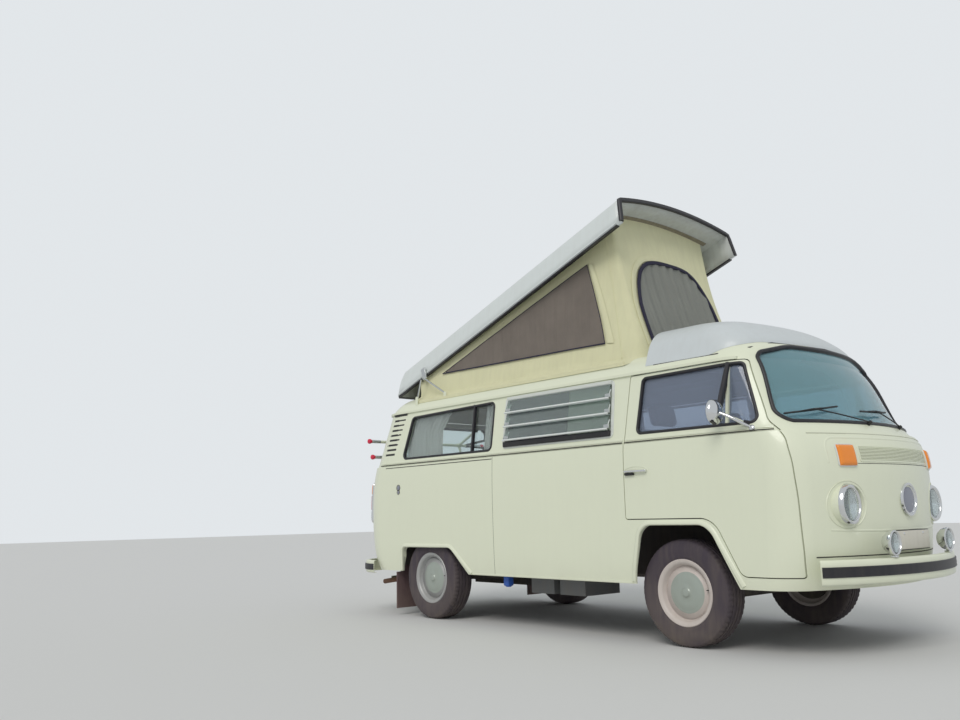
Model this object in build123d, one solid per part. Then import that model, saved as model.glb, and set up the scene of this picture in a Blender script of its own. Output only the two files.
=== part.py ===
from build123d import *
from math import atan2, cos, degrees, hypot, radians, sin, sqrt
import os

# A rear-engined camper van with a raised, rear-hinged roof. Millimetres.
# X points forward, Y to the van's left, Z up. The code measures x from the
# front axle, and every solid is moved by CENTRE_X as it is written, so that
# the origin is the middle of the van's outline, on the ground.

# Driving dimensions
WHEELBASE = 2400
FRONT_TRACK = 1395
REAR_TRACK = 1455
FRONT_REACH = 1115
CARRIER_X = -3470
CARRIER_R = 14
CENTRE_X = (CARRIER_R - CARRIER_X - FRONT_REACH) / 2
WALL = 40
GAP = 6
SEAT_GAP = 0.3
SKIN_GAP = 0.7

# Body heights
SILL_Z = 357
BELT_Z = 1213
BELT_STEP = 9
GUTTER_Z = 1663
SHOULDER_Z = 1768
CROWN_Z = 1788

# Body sections, one a row: height, half width, nose x, rear x.
# The lower body, the glazed upper body and the roof are three stacks.
BODY_W = 858
LOWER = [
    (SILL_Z, BODY_W - 12, 950, -3235),
    (600, BODY_W - 3, 1000, -3330),
    (829, BODY_W, 1015, -3342),
    (1080, BODY_W - 2, 1009, -3325),
    (1160, BODY_W - 5, 986, -3308),
    (BELT_Z, BODY_W - 8, 956, -3292),
]
UPPER = [
    (BELT_Z, BODY_W - 8 - BELT_STEP, 940, -3283),
    (1262, BODY_W - 24, 897, -3268),
    (1450, BODY_W - 50, 793, -3210),
    (GUTTER_Z, BODY_W - 78, 675, -3142),
]
ROOF = [
    (GUTTER_Z, BODY_W - 78, 675, -3142),
    (1722, BODY_W - 116, 640, -3118),
    (SHOULDER_Z, BODY_W - 168, 590, -3080),
    (CROWN_Z, BODY_W - 298, 470, -2960),
]
NOSE_R = 1600
FRONT_CORNER_R = 230
REAR_CORNER_R = 290

# Outlines seen from the side: x, height and corner radius
CAB_DOOR = [
    (-350, 748, 12), (-350, 1190, 900), (-316, 1646, 15), (500, 1646, 30), (640, 1272, 120),
    (738, 1185, 150), (772, 1040, 500), (785, 850, 1500), (783, 560, 1000), (774, 427, 12),
    (450, 427, 60), (285, 748, 150),
]
FRONT_ARCH = [(-306, 250, 5), (-301, 430, 400), (-240, 711, 105), (240, 711, 140), (484, 250, 5)]
REAR_ARCH = [(-2735, 250, 5), (-2724, 549, 45), (-2110, 551, 110), (-1780, 250, 5)]
DOOR_WINDOW = [(-262, 1266, 38), (-226, 1628, 38), (488, 1636, 38), (608, 1263, 38)]
QUARTER_BAR_X = 400
REAR_WINDOW = [(-2752, 1259, 45), (-2660, 1613, 45), (-1619, 1632, 45), (-1624, 1257, 45)]
REAR_WINDOW_BAR_X = -1853
JALOUSIE_WINDOW = [(-1500, 1266, 30), (-1496, 1640, 30), (-452, 1640, 30), (-446, 1266, 30)]
SLIDING_DOOR_X = (-1590, -385)
SLIDING_DOOR_Z = (420, 1640)
REAR_SPLIT_X = -2850

# Openings seen from the front or from behind: y, height and corner radius
SCREEN = [
    (-768, 1266, 62), (768, 1266, 62), (668, 1695, 90), (400, 1752, 600),
    (-400, 1752, 600), (-668, 1695, 90),
]
TAILGATE_W = 585
TAILGATE_Z = (905, 1640)
TAIL_WINDOW = [(-500, 1265, 70), (500, 1265, 70), (470, 1600, 70), (-470, 1600, 70)]
ENGINE_LID_W = 430
ENGINE_LID_Z = (520, 868)
LOUVRE_COUNT = 9
LOUVRE_PITCH = 41
LOUVRE_H = 17
LOUVRE_W = 135
LOUVRE_FOOT = (-3000, 1304)
LOUVRE_LEAN = 12

# Wheels and steering
TYRE_R = 313
TYRE_W = 185
RIM_R = 178
RIM_W = 142
HUB_CAP_R = 126
DISC_INSET = 24
HUB_Z = TYRE_R
KINGPIN_Y = 640
SLOT_COUNT = 20
STEERING_WHEEL_R = 200

# Raised roof lid, in its own frame: x from its rear lower corner, z from its edge
LID_ANGLE = 19.24
LID_CORNER = (-3009, 1832)
LID_LENGTH = 2747
LID_EDGE_W = 685
LID_TOP_W = 652
LID_SIDE_H = 186
LID_CROWN_H = 256
LID_WALL = 25
LID_PIN = (-2600, 1945)
LID_PIN_R = 9
ARM_FOOT = (-2300, 1776)
REAR_ARM_FOOT = (-2655, 1772)
ARM_Y = 716
REAR_ARM_Y = 736
ARM_R = 7
LUG_T = 6

# Canvas between the roof and the lid
CANVAS_FOOT_Z = 1769
CANVAS_FOOT_X = (-2693, -313)
CANVAS_FOOT_W = 662
CANVAS_LEAN = 0.112
CANVAS_TOP_RUN = (330, 2590)
CANVAS_WALL = 8
ROOF_HOLE_X = (-2670, -340)
ROOF_HOLE_W = 630

# Luggage tray over the cab: height, half width, nose x
RACK_REAR_X = -215
RACK = [
    (1690, 764, 570),
    (1760, 738, 592),
    (1806, 720, 568),
    (1850, 697, 520),
    (1895, 660, 455),
    (1930, 610, 385),
    (1953, 545, 315),
    (1966, 465, 245),
]
# The tray's lower edge, seen from the front: y, height and corner radius
RACK_EDGE = [(-900, 1702, 5), (-735, 1702, 60), (-560, 1766, 300), (560, 1766, 300), (735, 1702, 60), (900, 1702, 5)]
RACK_POCKET_X = (-175, 210)
RACK_POCKET_W = 500
RACK_FLOOR_Z = 1830

# Bumpers: height spans, reach and bar depth
FRONT_BUMPER_Z = (390, 520)
REAR_BUMPER_Z = (318, 446)
BUMPER_W = 866
BUMPER_REAR_X = -3390
BUMPER_END_X = 885
BUMPER_BAR = 28
STAY_Y = (420, 480)

# Lamps: y, height, radius
HEADLAMP = (524, 806, 110)
SPOT_LAMP = (329, 603, 66)
NOSE_DISC = (0, 829, 96)
INDICATOR_Y = (438, 566)
INDICATOR_Z = (1019, 1135)
TAIL_LAMP_Y = (690, 770)
TAIL_LAMP_Z = (760, 1075)
PLATE_W = 460
PLATE_Z = (553, 655)


# Helpers for plain solids
def block(x, y, z):
    """A box from three (low, high) pairs."""
    centre = Pos((x[0] + x[1]) / 2, (y[0] + y[1]) / 2, (z[0] + z[1]) / 2)
    return centre * Box(x[1] - x[0], y[1] - y[0], z[1] - z[0])


def side_face(points, y):
    """A face seen from the side, from (x, height, radius) corners."""
    corners = [(px, y, pz) for px, pz, _ in points]
    return make_face(FilletPolyline(*corners, radius=[r for *_, r in points], close=True))


def side_prism(points, y):
    """A solid whose side view is points, from y[0] to y[1]."""
    return extrude(side_face(points, y[0]), amount=y[1] - y[0], dir=(0, 1, 0))


def front_prism(points, x):
    """A solid whose front view is (y, height, radius) corners, from x[0] to x[1]."""
    corners = [(x[0], py, pz) for py, pz, _ in points]
    face = make_face(FilletPolyline(*corners, radius=[r for *_, r in points], close=True))
    return extrude(face, amount=x[1] - x[0], dir=(1, 0, 0))


def plain_prism(points, y):
    """A sharp-cornered solid whose side view is (x, height) points."""
    face = make_face(Polyline(*[(px, y[0], pz) for px, pz in points], close=True))
    return extrude(face, amount=y[1] - y[0], dir=(0, 1, 0))


def grown_prism(points, by, y):
    """A side prism on an outline pushed out by a distance."""
    return extrude(offset(side_face(points, y[0]), amount=by), amount=y[1] - y[0], dir=(0, 1, 0))


def rod(a, b, r):
    """A round bar from a to b."""
    span = Vector(*b) - Vector(*a)
    return Solid.make_cylinder(r, span.length, Plane(origin=a, z_dir=span))


def bent_rod(points, r):
    """Round bars joined end to end by balls."""
    solid = rod(points[0], points[1], r)
    for a, b in zip(points[1:], points[2:]):
        solid = solid + Pos(*a) * Sphere(r) + rod(a, b, r)
    return solid


def turned(points):
    """A solid of revolution about Y from (radius, y) points."""
    return revolve(make_face(Polyline(*points, close=True)), Axis.Y)


def facing_forward(points, place):
    """A solid of revolution about X through place, from (radius, x) points."""
    face = make_face(Polyline(*[(run, r, 0) for r, run in points], close=True))
    return Pos(*place) * revolve(face, Axis.X)


def pair(low, high):
    """The span from low to high on the right and on the left, as two Y pairs."""
    return [(-high, -low), (low, high)]


def fused(solids):
    """All the solids of a list, joined."""
    whole = solids[0]
    for solid in solids[1:]:
        whole = whole + solid
    return whole


# The body's outer form
def plan_face(row, inset=0):
    """One level section of the body: flat sides, round corners, bowed nose."""
    z, half, nose, rear = row
    half, nose, rear = half - inset, nose - inset, rear + inset
    nose_r = NOSE_R - inset
    side_r = FRONT_CORNER_R - inset
    rear_r = REAR_CORNER_R - inset
    centre = nose - nose_r
    run = sqrt((nose_r - side_r) ** 2 - (half - side_r) ** 2)
    start = centre + run
    angle = atan2(half - side_r, run)
    middle = (angle + radians(90)) / 2
    join = (centre + nose_r * cos(angle), nose_r * sin(angle))
    bend = (start + side_r * cos(middle), half - side_r + side_r * sin(middle))
    turn = rear_r * (1 - sqrt(0.5))
    left = [
        ThreePointArc((*join, z), (*bend, z), (start, half, z)),
        Line((start, half, z), (rear + rear_r, half, z)),
        ThreePointArc(
            (rear + rear_r, half, z),
            (rear + turn, half - turn, z),
            (rear, half - rear_r, z),
        ),
    ]
    right = [
        ThreePointArc(
            (rear, rear_r - half, z),
            (rear + turn, turn - half, z),
            (rear + rear_r, -half, z),
        ),
        Line((rear + rear_r, -half, z), (start, -half, z)),
        ThreePointArc((start, -half, z), (bend[0], -bend[1], z), (join[0], -join[1], z)),
    ]
    back = Line((rear, half - rear_r, z), (rear, rear_r - half, z))
    front = ThreePointArc((join[0], -join[1], z), (nose, 0, z), (*join, z))
    return make_face([*left, back, *right, front])


def stack(rows, inset=0):
    """A smooth solid through a table of level sections."""
    return loft([plan_face(row, inset) for row in rows])


def moved_rows(rows, low=0, high=0):
    """The same rows with the lowest and highest pushed down and up."""
    first, last = rows[0], rows[-1]
    return [(first[0] - low, *first[1:]), *rows[1:-1], (last[0] + high, *last[1:])]


def lifted(rows, by):
    """The same rows, all moved up."""
    return [(z + by, *rest) for z, *rest in rows]


WIDE = (-1000, 1000)
RIGHT = (-1000, -400)
LEFT = (400, 1000)
FRONT = (200, 1300)
BEHIND = (-3500, -3000)
PILLAR_X = CAB_DOOR[0][0] - GAP

lower_wall = stack(LOWER) - stack(moved_rows(LOWER, 1, 1), WALL)
upper_wall = stack(UPPER) - stack(moved_rows(UPPER, 1, 1), WALL)
roof_shell = stack(ROOF) - stack(lifted(ROOF, -30), WALL)
lower_clear = stack(LOWER, -SEAT_GAP)
roof_clear = stack(lifted(ROOF, SKIN_GAP), -SKIN_GAP)


def joined_walls(region):
    """The parts of the lower and upper wall inside a region, as one solid."""
    return (lower_wall & region) + (upper_wall & region)


# Panels cut from the walls
screen_hole = front_prism(SCREEN, FRONT)
door_hole = grown_prism(CAB_DOOR, GAP, RIGHT)
door_holes = door_hole + mirror(door_hole, Plane.XZ)
arches = side_prism(FRONT_ARCH, WIDE) + side_prism(REAR_ARCH, WIDE)
STEER_ROOM = 32
steer_room = grown_prism(FRONT_ARCH, STEER_ROOM, (-BODY_W + 22, BODY_W - 22))
lamp_y, lamp_z, lamp_r = HEADLAMP
lamp_holes = fused([rod((800, y, lamp_z), (1100, y, lamp_z), lamp_r + SEAT_GAP) for y in (-lamp_y, lamp_y)])
front_region = block((PILLAR_X, 1300), WIDE, (300, GUTTER_Z))
nose = joined_walls(front_region) - door_holes - arches - steer_room - screen_hole - lamp_holes

door_window = side_prism(DOOR_WINDOW, RIGHT)
quarter_bar = block((QUARTER_BAR_X - 8, QUARTER_BAR_X + 8), RIGHT, (1250, 1645))
door_panel = joined_walls(side_prism(CAB_DOOR, RIGHT)) - (door_window - quarter_bar)

side_region = block((REAR_SPLIT_X, PILLAR_X), RIGHT, (300, GUTTER_Z))
side_wall = joined_walls(side_region)
rear_window = side_prism(REAR_WINDOW, RIGHT)
jalousie_window = side_prism(JALOUSIE_WINDOW, RIGHT)
wheel_room = rod((-WHEELBASE, -600, HUB_Z), (-WHEELBASE, 18 - BODY_W, HUB_Z), TYRE_R + 50)
side_panel = side_wall - arches - wheel_room - rear_window
side_right = side_panel - jalousie_window

slide_region = block(SLIDING_DOOR_X, LEFT, SLIDING_DOOR_Z)
slide_hole = block(
    (SLIDING_DOOR_X[0] - GAP, SLIDING_DOOR_X[1] + GAP),
    LEFT,
    (SLIDING_DOOR_Z[0] - SEAT_GAP, SLIDING_DOOR_Z[1] + GAP),
)
slide_window = side_prism(JALOUSIE_WINDOW, LEFT)
side_left = mirror(side_panel, Plane.XZ) - slide_hole
sliding_door = (mirror(side_wall, Plane.XZ) & slide_region) - slide_window


def rear_opening(half, z, grow=0):
    """A block over an opening in the tail, pushed out by grow."""
    return block((-3500, -3100), (-half - grow, half + grow), (z[0] - grow, z[1] + grow))


rear_frame = joined_walls(block((-3500, REAR_SPLIT_X), WIDE, (300, GUTTER_Z)))
rear_frame = rear_frame - rear_opening(TAILGATE_W, TAILGATE_Z, GAP) - rear_opening(ENGINE_LID_W, ENGINE_LID_Z, GAP)
for index in range(LOUVRE_COUNT):
    z = LOUVRE_FOOT[1] + index * LOUVRE_PITCH
    x = LOUVRE_FOOT[0] + index * LOUVRE_LEAN
    rear_frame = rear_frame - block((x, x + LOUVRE_W), WIDE, (z, z + LOUVRE_H))

tail_window = front_prism(TAIL_WINDOW, BEHIND)
tailgate = joined_walls(rear_opening(TAILGATE_W, TAILGATE_Z)) - tail_window
engine_lid = joined_walls(rear_opening(ENGINE_LID_W, ENGINE_LID_Z))

# Roof with its gutter, and the lugs that carry the lid's arms
GUTTER_REACH = 14
GUTTER_END_X = 450
gutter_rows = [
    (z, BODY_W - 78 + GUTTER_REACH, 675 + GUTTER_REACH, -3142 - GUTTER_REACH)
    for z in (GUTTER_Z - 10, GUTTER_Z + 6)
]
gutter = stack(gutter_rows) - stack(UPPER, -SEAT_GAP) - stack(ROOF, WALL / 2)
gutter = gutter & block((-3500, GUTTER_END_X), WIDE, (1600, 1700))
roof_hole = block(ROOF_HOLE_X, (-ROOF_HOLE_W, ROOF_HOLE_W), (1500, 2000))
roof = roof_shell + gutter - roof_hole - screen_hole

lugs = []
for (x, z), arm_y in ((ARM_FOOT, ARM_Y), (REAR_ARM_FOOT, REAR_ARM_Y)):
    for span in pair(arm_y + ARM_R + SEAT_GAP, arm_y + ARM_R + SEAT_GAP + LUG_T):
        lug = block((x - 16, x + 16), span, (1690, z)) + rod((x, span[0], z), (x, span[1], z), 16)
        lugs.append(lug - roof_clear)


# Glass, set in the middle of its wall
GLASS_T = 6


def glass_skin(rows):
    """A thin skin in the middle of the wall that a table of sections makes."""
    return stack(rows, (WALL - GLASS_T) / 2) - stack(moved_rows(rows, 1, 1), (WALL + GLASS_T) / 2)


upper_glass = glass_skin(UPPER)
roof_glass = stack(ROOF, (WALL - GLASS_T) / 2) - stack(lifted(ROOF, -GLASS_T), (WALL + GLASS_T) / 2)
windscreen = (upper_glass + roof_glass) & front_prism(SCREEN, FRONT)
side_glass = [
    upper_glass & rear_window,
    upper_glass & mirror(rear_window, Plane.XZ),
    upper_glass & slide_window,
]
door_glass = upper_glass & (door_window - quarter_bar)
tailgate_glass = upper_glass & tail_window


# Louvred window: a frame with three tilted slats
SLAT_COUNT = 3
SLAT_H = 104
SLAT_TILT = 22
FRAME_W = 26
frame_rear, frame_front = JALOUSIE_WINDOW[0][0], JALOUSIE_WINDOW[3][0]
slat_length = frame_front - frame_rear - 2 * FRAME_W + 4
frame_inner = block(
    (frame_rear + FRAME_W, frame_front - FRAME_W), RIGHT,
    (JALOUSIE_WINDOW[0][1] + FRAME_W, JALOUSIE_WINDOW[1][1] - FRAME_W),
)
jalousie = (jalousie_window - frame_inner) & stack(UPPER, -4) - stack(moved_rows(UPPER, 1, 1), 30)
for index in range(SLAT_COUNT):
    z = 1350 + index * 104
    y = 15 - BODY_W + (z - 1350) * 0.14
    slat = Pos((frame_rear + frame_front) / 2, y, z) * Rot(SLAT_TILT, 0, 0) * Box(slat_length, 6, SLAT_H)
    jalousie = jalousie + slat

# Luggage tray over the cab
rack_rows = [(z, half, nose_x, RACK_REAR_X - 400) for z, half, nose_x in RACK]
rack_edge = front_prism([(-900, 1500, 5), (900, 1500, 5), *reversed(RACK_EDGE)], (-1000, 1300))
rack_solid = stack(rack_rows) & block((RACK_REAR_X, 1200), WIDE, (1600, 2100))
rack_pocket = block(RACK_POCKET_X, (-RACK_POCKET_W, RACK_POCKET_W), (RACK_FLOOR_Z, 2100))
roof_rack = rack_solid - rack_pocket - rack_edge - roof_clear


# Bumpers with their stays, and the blank front plate
def level_bar(nose_x, rear_x, z, inset=0):
    """A level slab with the body's plan, drawn in by inset."""
    rows = [(z[0] - inset / 28, BUMPER_W - inset, nose_x - inset, rear_x + inset)]
    rows.append((z[1] + inset / 28, BUMPER_W - inset, nose_x - inset, rear_x + inset))
    return stack(rows)


def hollow_bar(nose_x, rear_x, z):
    return level_bar(nose_x, rear_x, z) - level_bar(nose_x, rear_x, z, BUMPER_BAR)


front_bumper = hollow_bar(FRONT_REACH, -2000, FRONT_BUMPER_Z) & block((BUMPER_END_X, 1300), WIDE, (0, 700))
rear_bumper = hollow_bar(BUMPER_END_X, BUMPER_REAR_X, REAR_BUMPER_Z) & block((-3500, -3170), WIDE, (0, 700))
for span in pair(*STAY_Y):
    front_stay = block((880, FRONT_REACH - BUMPER_BAR - 22), span, (FRONT_BUMPER_Z[0] + 25, FRONT_BUMPER_Z[1] - 25))
    rear_stay = block((BUMPER_REAR_X + 20, -3200), span, (370, REAR_BUMPER_Z[1] - 10))
    front_bumper = front_bumper + (front_stay - lower_clear)
    rear_bumper = rear_bumper + (rear_stay - lower_clear)
PLATE_X = 1020
plate = block((PLATE_X, PLATE_X + 8), (-PLATE_W / 2, PLATE_W / 2), PLATE_Z)
for y in (-120, 120):
    plate = plate + (block((930, PLATE_X + 1), (y - 14, y + 14), (580, 620)) - lower_clear)


# Lamps
def head_lamp(y):
    """A round bucket with a bright ring and a domed lens."""
    profile = [(0, 866), (lamp_r, 866), (lamp_r, 926), (lamp_r - 12, 940), (70, 946), (0, 954)]
    return facing_forward(profile, (0, y, lamp_z))


def spot_lamp(y):
    """A round lamp on a short post that stands on the bumper."""
    _, z, r = SPOT_LAMP
    top = FRONT_BUMPER_Z[1] + SEAT_GAP
    profile = [(0, 1010), (r * 0.6, 1016), (r - 4, 1045), (r, 1070), (r - 6, 1078), (0, 1086)]
    post = rod((1064, y, top + 5), (1064, y, z - r + 10), 9)
    foot = block((1050, 1080), (y - 16, y + 16), (top, top + 10))
    return facing_forward(profile, (0, y, z)) + post + foot


disc_y, disc_z, disc_r = NOSE_DISC
nose_disc = facing_forward([(0, 950), (disc_r, 950), (disc_r, 1015), (0, 1023)], (0, disc_y, disc_z)) - lower_clear
front_lamps = [head_lamp(-lamp_y), head_lamp(lamp_y), spot_lamp(-SPOT_LAMP[0]), spot_lamp(SPOT_LAMP[0]), nose_disc]

signal_lamps = []
for span in pair(*INDICATOR_Y):
    signal_lamps.append((block((800, 1000), span, INDICATOR_Z) & stack(LOWER, -20)) - lower_clear)
for span in pair(*TAIL_LAMP_Y):
    signal_lamps.append((block((-3400, -3000), span, TAIL_LAMP_Z) & stack(LOWER, -14)) - lower_clear)

# Floor, rails and wheel tubs
FLOOR_Z = (400, 440)
RAIL_Z = (360, 401)
SEAT_BOX_Z = (765, 790)
TUB_X = (-2815, -1985)
TUB_Y = (575, 800)
TUB_WALL = 15
rail_spans = pair(330, 400)
floor_parts = [
    block((-2640, -420), (-800, 800), FLOOR_Z),
    block((-460, -420), (-800, 800), (FLOOR_Z[0], SEAT_BOX_Z[1])),
    block((-460, 560), (-800, 800), SEAT_BOX_Z),
    block((520, 560), (-760, 760), (FLOOR_Z[0], SEAT_BOX_Z[1])),
    block((520, 810), (-560, 560), (FLOOR_Z[0], 430)),
]
tub_rooms = []
for side, inside in zip((-1, 1), pair(*TUB_Y)):
    hollow = sorted((side * (TUB_Y[0] + TUB_WALL), side * (TUB_Y[1] + 50)))
    tub_rooms.append(block((TUB_X[0] + TUB_WALL, TUB_X[1] - TUB_WALL), hollow, (300, 705 - TUB_WALL)))
    floor_parts.append(block(TUB_X, inside, (FLOOR_Z[0], 705)))
for span in rail_spans:
    floor_parts.append(block((-2640, 60), span, RAIL_Z))
    floor_parts.append(block((180, 860), span, RAIL_Z))
floor = fused(floor_parts) - fused(tub_rooms)


# Cab and living space
def seat(y):
    base = block((-330, 130), (y - 230, y + 230), (SEAT_BOX_Z[1], 850))
    cushion = block((-330, 170), (y - 250, y + 250), (850, 960))
    back = side_prism([(-330, 955, 10), (-220, 955, 30), (-330, 1500, 30), (-405, 1500, 30)], (y - 240, y + 240))
    return base + cushion + back


STEERING_Y = -400
COLUMN_FOOT = (710, 670)
COLUMN_TOP = (415, 1080)
HUB_DEPTH = 44
seats = [seat(-400), seat(400)]
DASH = [(660, 1000, 15), (775, 1000, 15), (750, 1190, 15), (700, 1225, 15), (640, 1170, 15)]
dash = side_prism(DASH, (-690, 690))
toe_board = block((700, 735), (-560, 560), (430 + SEAT_GAP, 1001))
column_run = hypot(COLUMN_TOP[0] - COLUMN_FOOT[0], COLUMN_TOP[1] - COLUMN_FOOT[1])
share = (column_run - HUB_DEPTH - SEAT_GAP) / column_run
column_end = [a + (b - a) * share for a, b in zip(COLUMN_FOOT, COLUMN_TOP)]
column = rod((COLUMN_FOOT[0], STEERING_Y, COLUMN_FOOT[1]), (column_end[0], STEERING_Y, column_end[1]), 22)
dashboard = dash + column + toe_board
COLUMN_TILT = degrees(atan2(COLUMN_FOOT[0] - COLUMN_TOP[0], COLUMN_TOP[1] - COLUMN_FOOT[1]))
steering_wheel = fused([
    Solid.make_torus(STEERING_WHEEL_R, 13),
    Pos(0, 0, -HUB_DEPTH / 2) * Cylinder(48, HUB_DEPTH),
    Box(2 * STEERING_WHEEL_R, 34, 10),
    Box(34, 2 * STEERING_WHEEL_R, 10),
])
steering_wheel = Pos(COLUMN_TOP[0], STEERING_Y, COLUMN_TOP[1]) * Rot(0, -COLUMN_TILT, 0) * steering_wheel

bench = block((-2080, -1560), (-500, 560), (440, 800)) + block((-2200, -2080), (-500, 560), (440, 1230))
cabinet_right = block((-1540, -620), (-790, -420), (440, 1180))
rear_deck = block((-3090, -2230), (-800, 800), (905, 985)) + block((-2250, -2230), (-560, 560), (440, 905))
living = [bench, cabinet_right, rear_deck]

curtains = []
curtain_skin = stack(UPPER, WALL + SEAT_GAP) - stack(moved_rows(UPPER, 1, 1), WALL + 5)
for y in (RIGHT, LEFT):
    for x in ((-2700, -2120), (-1830, -1650)):
        curtains.append(curtain_skin & block(x, y, (1240, 1640)))

# Running gear
PIPE_R = 20
engine = block((-3060, -2660), (-400, 400), (270, 700)) + block((-3140, -3050), (-200, 200), (290, 340))
engine = engine + rod((-3140, -330, 290), (-3140, 330, 290), 55)
engine = engine + bent_rod([(-3140, -280, 280), (-3190, -470, 272), (-3290, -560, 262)], PIPE_R)

HANGER_Y = 220
SHAFT_END = REAR_TRACK / 2 + DISC_INSET - SEAT_GAP
rear_axle = block((-2660, -1900), (-130, 130), (230, 395))
rear_axle = rear_axle + rod((-WHEELBASE, -SHAFT_END, HUB_Z), (-WHEELBASE, SHAFT_END, HUB_Z), 32)
rear_axle = rear_axle + rod((-1900, -250, 325), (-1900, 250, 325), 30)
for span, side in zip(pair(HANGER_Y - 20, HANGER_Y + 20), (-1, 1)):
    rear_axle = rear_axle + rod((-1900, side * 245, 325), (-WHEELBASE, side * 560, HUB_Z), 28)
    rear_axle = rear_axle + block((-1920, -1880), span, (325, FLOOR_Z[0]))

# Front beam: two tubes, trailing arms to the kingpin eyes, and its rail brackets
BEAM_X = 120
BEAM_Y = 470
BEAM_Z = (300, 430)
EYE_HALF = 50
EYE_R = 20
EYE_T = 27.4
beam_parts = [block((BEAM_X - 20, BEAM_X + 20), (-60, 60), BEAM_Z)]
for tube_z, way in zip(BEAM_Z, (-1, 1)):
    eye_z = HUB_Z + way * (EYE_HALF + SEAT_GAP + EYE_T / 2)
    beam_parts.append(rod((BEAM_X, -BEAM_Y, tube_z), (BEAM_X, BEAM_Y, tube_z), 34))
    for side in (-1, 1):
        eye = (0, side * KINGPIN_Y)
        arm_end = (6, side * (KINGPIN_Y - 9), eye_z + way * 3)
        beam_parts.append(rod((BEAM_X, side * (BEAM_Y - 5), tube_z), arm_end, 8))
        beam_parts.append(rod((*eye, eye_z - EYE_T / 2), (*eye, eye_z + EYE_T / 2), EYE_R))
for span in rail_spans:
    beam_parts.append(block((60, 180), span, RAIL_Z))
    beam_parts.append(block((BEAM_X - 20, BEAM_X + 20), span, BEAM_Z))
front_beam = fused(beam_parts)

STUB_END = FRONT_TRACK / 2 + DISC_INSET - SEAT_GAP
knuckle = rod((0, -KINGPIN_Y, HUB_Z - EYE_HALF), (0, -KINGPIN_Y, HUB_Z + EYE_HALF), 16)
knuckle = knuckle + rod((0, -KINGPIN_Y, HUB_Z), (0, -STUB_END, HUB_Z), 24)

TANK_Z = (225, 330)
TANK_Y = (-560, -200)
tanks = []
for x in ((-1520, -1290), (-1230, -990)):
    hanger = block((x[0] + 75, x[1] - 75), (-320, -240), (TANK_Z[1] - 5, FLOOR_Z[0]))
    tanks.append(block(x, TANK_Y, TANK_Z) + hanger)
tanks.append(rod((-1541, -770, 290), (-1541, -770, FLOOR_Z[0]), 24))
FLAP_T = 12
flaps = []
for low, top in zip(pair(640, 840), pair(640, 800)):
    across = (TUB_X[0] - FLAP_T, TUB_X[0])
    flaps.append(block(across, low, (57, SILL_Z - 10)) + block(across, top, (SILL_Z - 11, 430)))


def make_tyre():
    half = TYRE_W / 2
    rim = RIM_W / 2
    profile = [
        (RIM_R, -rim), (RIM_R + 25, -rim - 4), (RIM_R + 70, -half), (TYRE_R - 45, -half),
        (TYRE_R - 15, -half + 14), (TYRE_R, -half + 34), (TYRE_R, half - 34),
        (TYRE_R - 15, half - 14), (TYRE_R - 45, half), (RIM_R + 70, half),
        (RIM_R + 25, rim + 4), (RIM_R, rim),
    ]
    return turned(profile)


def make_wheel():
    """A steel disc wheel, its outer face towards -Y, with a wide domed cap."""
    rim = RIM_W / 2
    barrel = turned([
        (RIM_R - SEAT_GAP, -rim), (RIM_R + 11, -rim - 7), (RIM_R + 11, -rim - 10), (RIM_R - 8, -rim - 4),
        (RIM_R - 12, -rim + 12), (RIM_R - 26, -rim + 40), (RIM_R - 26, rim - 40), (RIM_R - 12, rim),
        (RIM_R - SEAT_GAP, rim), (RIM_R - SEAT_GAP, rim - 1), (RIM_R - 18, rim - 40), (RIM_R - 18, -rim + 40),
    ])
    disc = turned([
        (0, -34), (60, -34), (110, -40), (132, -46), (RIM_R - 24, -30), (RIM_R - 24, -20),
        (132, -36), (110, -30), (60, -DISC_INSET), (0, -DISC_INSET),
    ])
    cap = turned([
        (0, -72), (26, -71), (40, -64), (95, -58), (118, -50), (HUB_CAP_R, -42), (HUB_CAP_R - 2, -39),
        (110, -38), (0, -33),
    ])
    for index in range(SLOT_COUNT):
        spin = Rot(0, index * 360 / SLOT_COUNT, 0)
        disc = disc - spin * Pos(HUB_CAP_R + 14, -30, 0) * Box(10, 80, 14)
    return barrel + disc + cap


tyre = make_tyre()
wheel = make_wheel()


# The raised lid and what carries it
def lid_form(inset=0):
    """The lid in its own frame, its section drawn in by inset."""
    edge, top = LID_EDGE_W - inset, LID_TOP_W - inset
    side, crown = LID_SIDE_H - inset, LID_CROWN_H - inset
    section = make_face([
        Line((0, -edge, -inset), (0, -top, side)),
        ThreePointArc((0, -top, side), (0, 0, crown), (0, top, side)),
        Line((0, top, side), (0, edge, -inset)),
        Line((0, edge, -inset), (0, -edge, -inset)),
    ])
    long_bar = Pos(-100, 0, 0) * extrude(section, amount=LID_LENGTH + 300, dir=(1, 0, 0))
    profile = [
        (inset, -inset - 1), (LID_LENGTH - inset, -inset - 1), (LID_LENGTH + 38 - inset, 300),
        (330 + inset, 300), (95 + inset, 160), (40 + inset, 110),
    ]
    return long_bar & plain_prism(profile, (-800, 800))


def raised(solid):
    """From the lid's own frame to where the lid stands, raised."""
    return Pos(LID_CORNER[0], 0, LID_CORNER[1]) * Rot(0, -LID_ANGLE, 0) * solid


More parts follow.
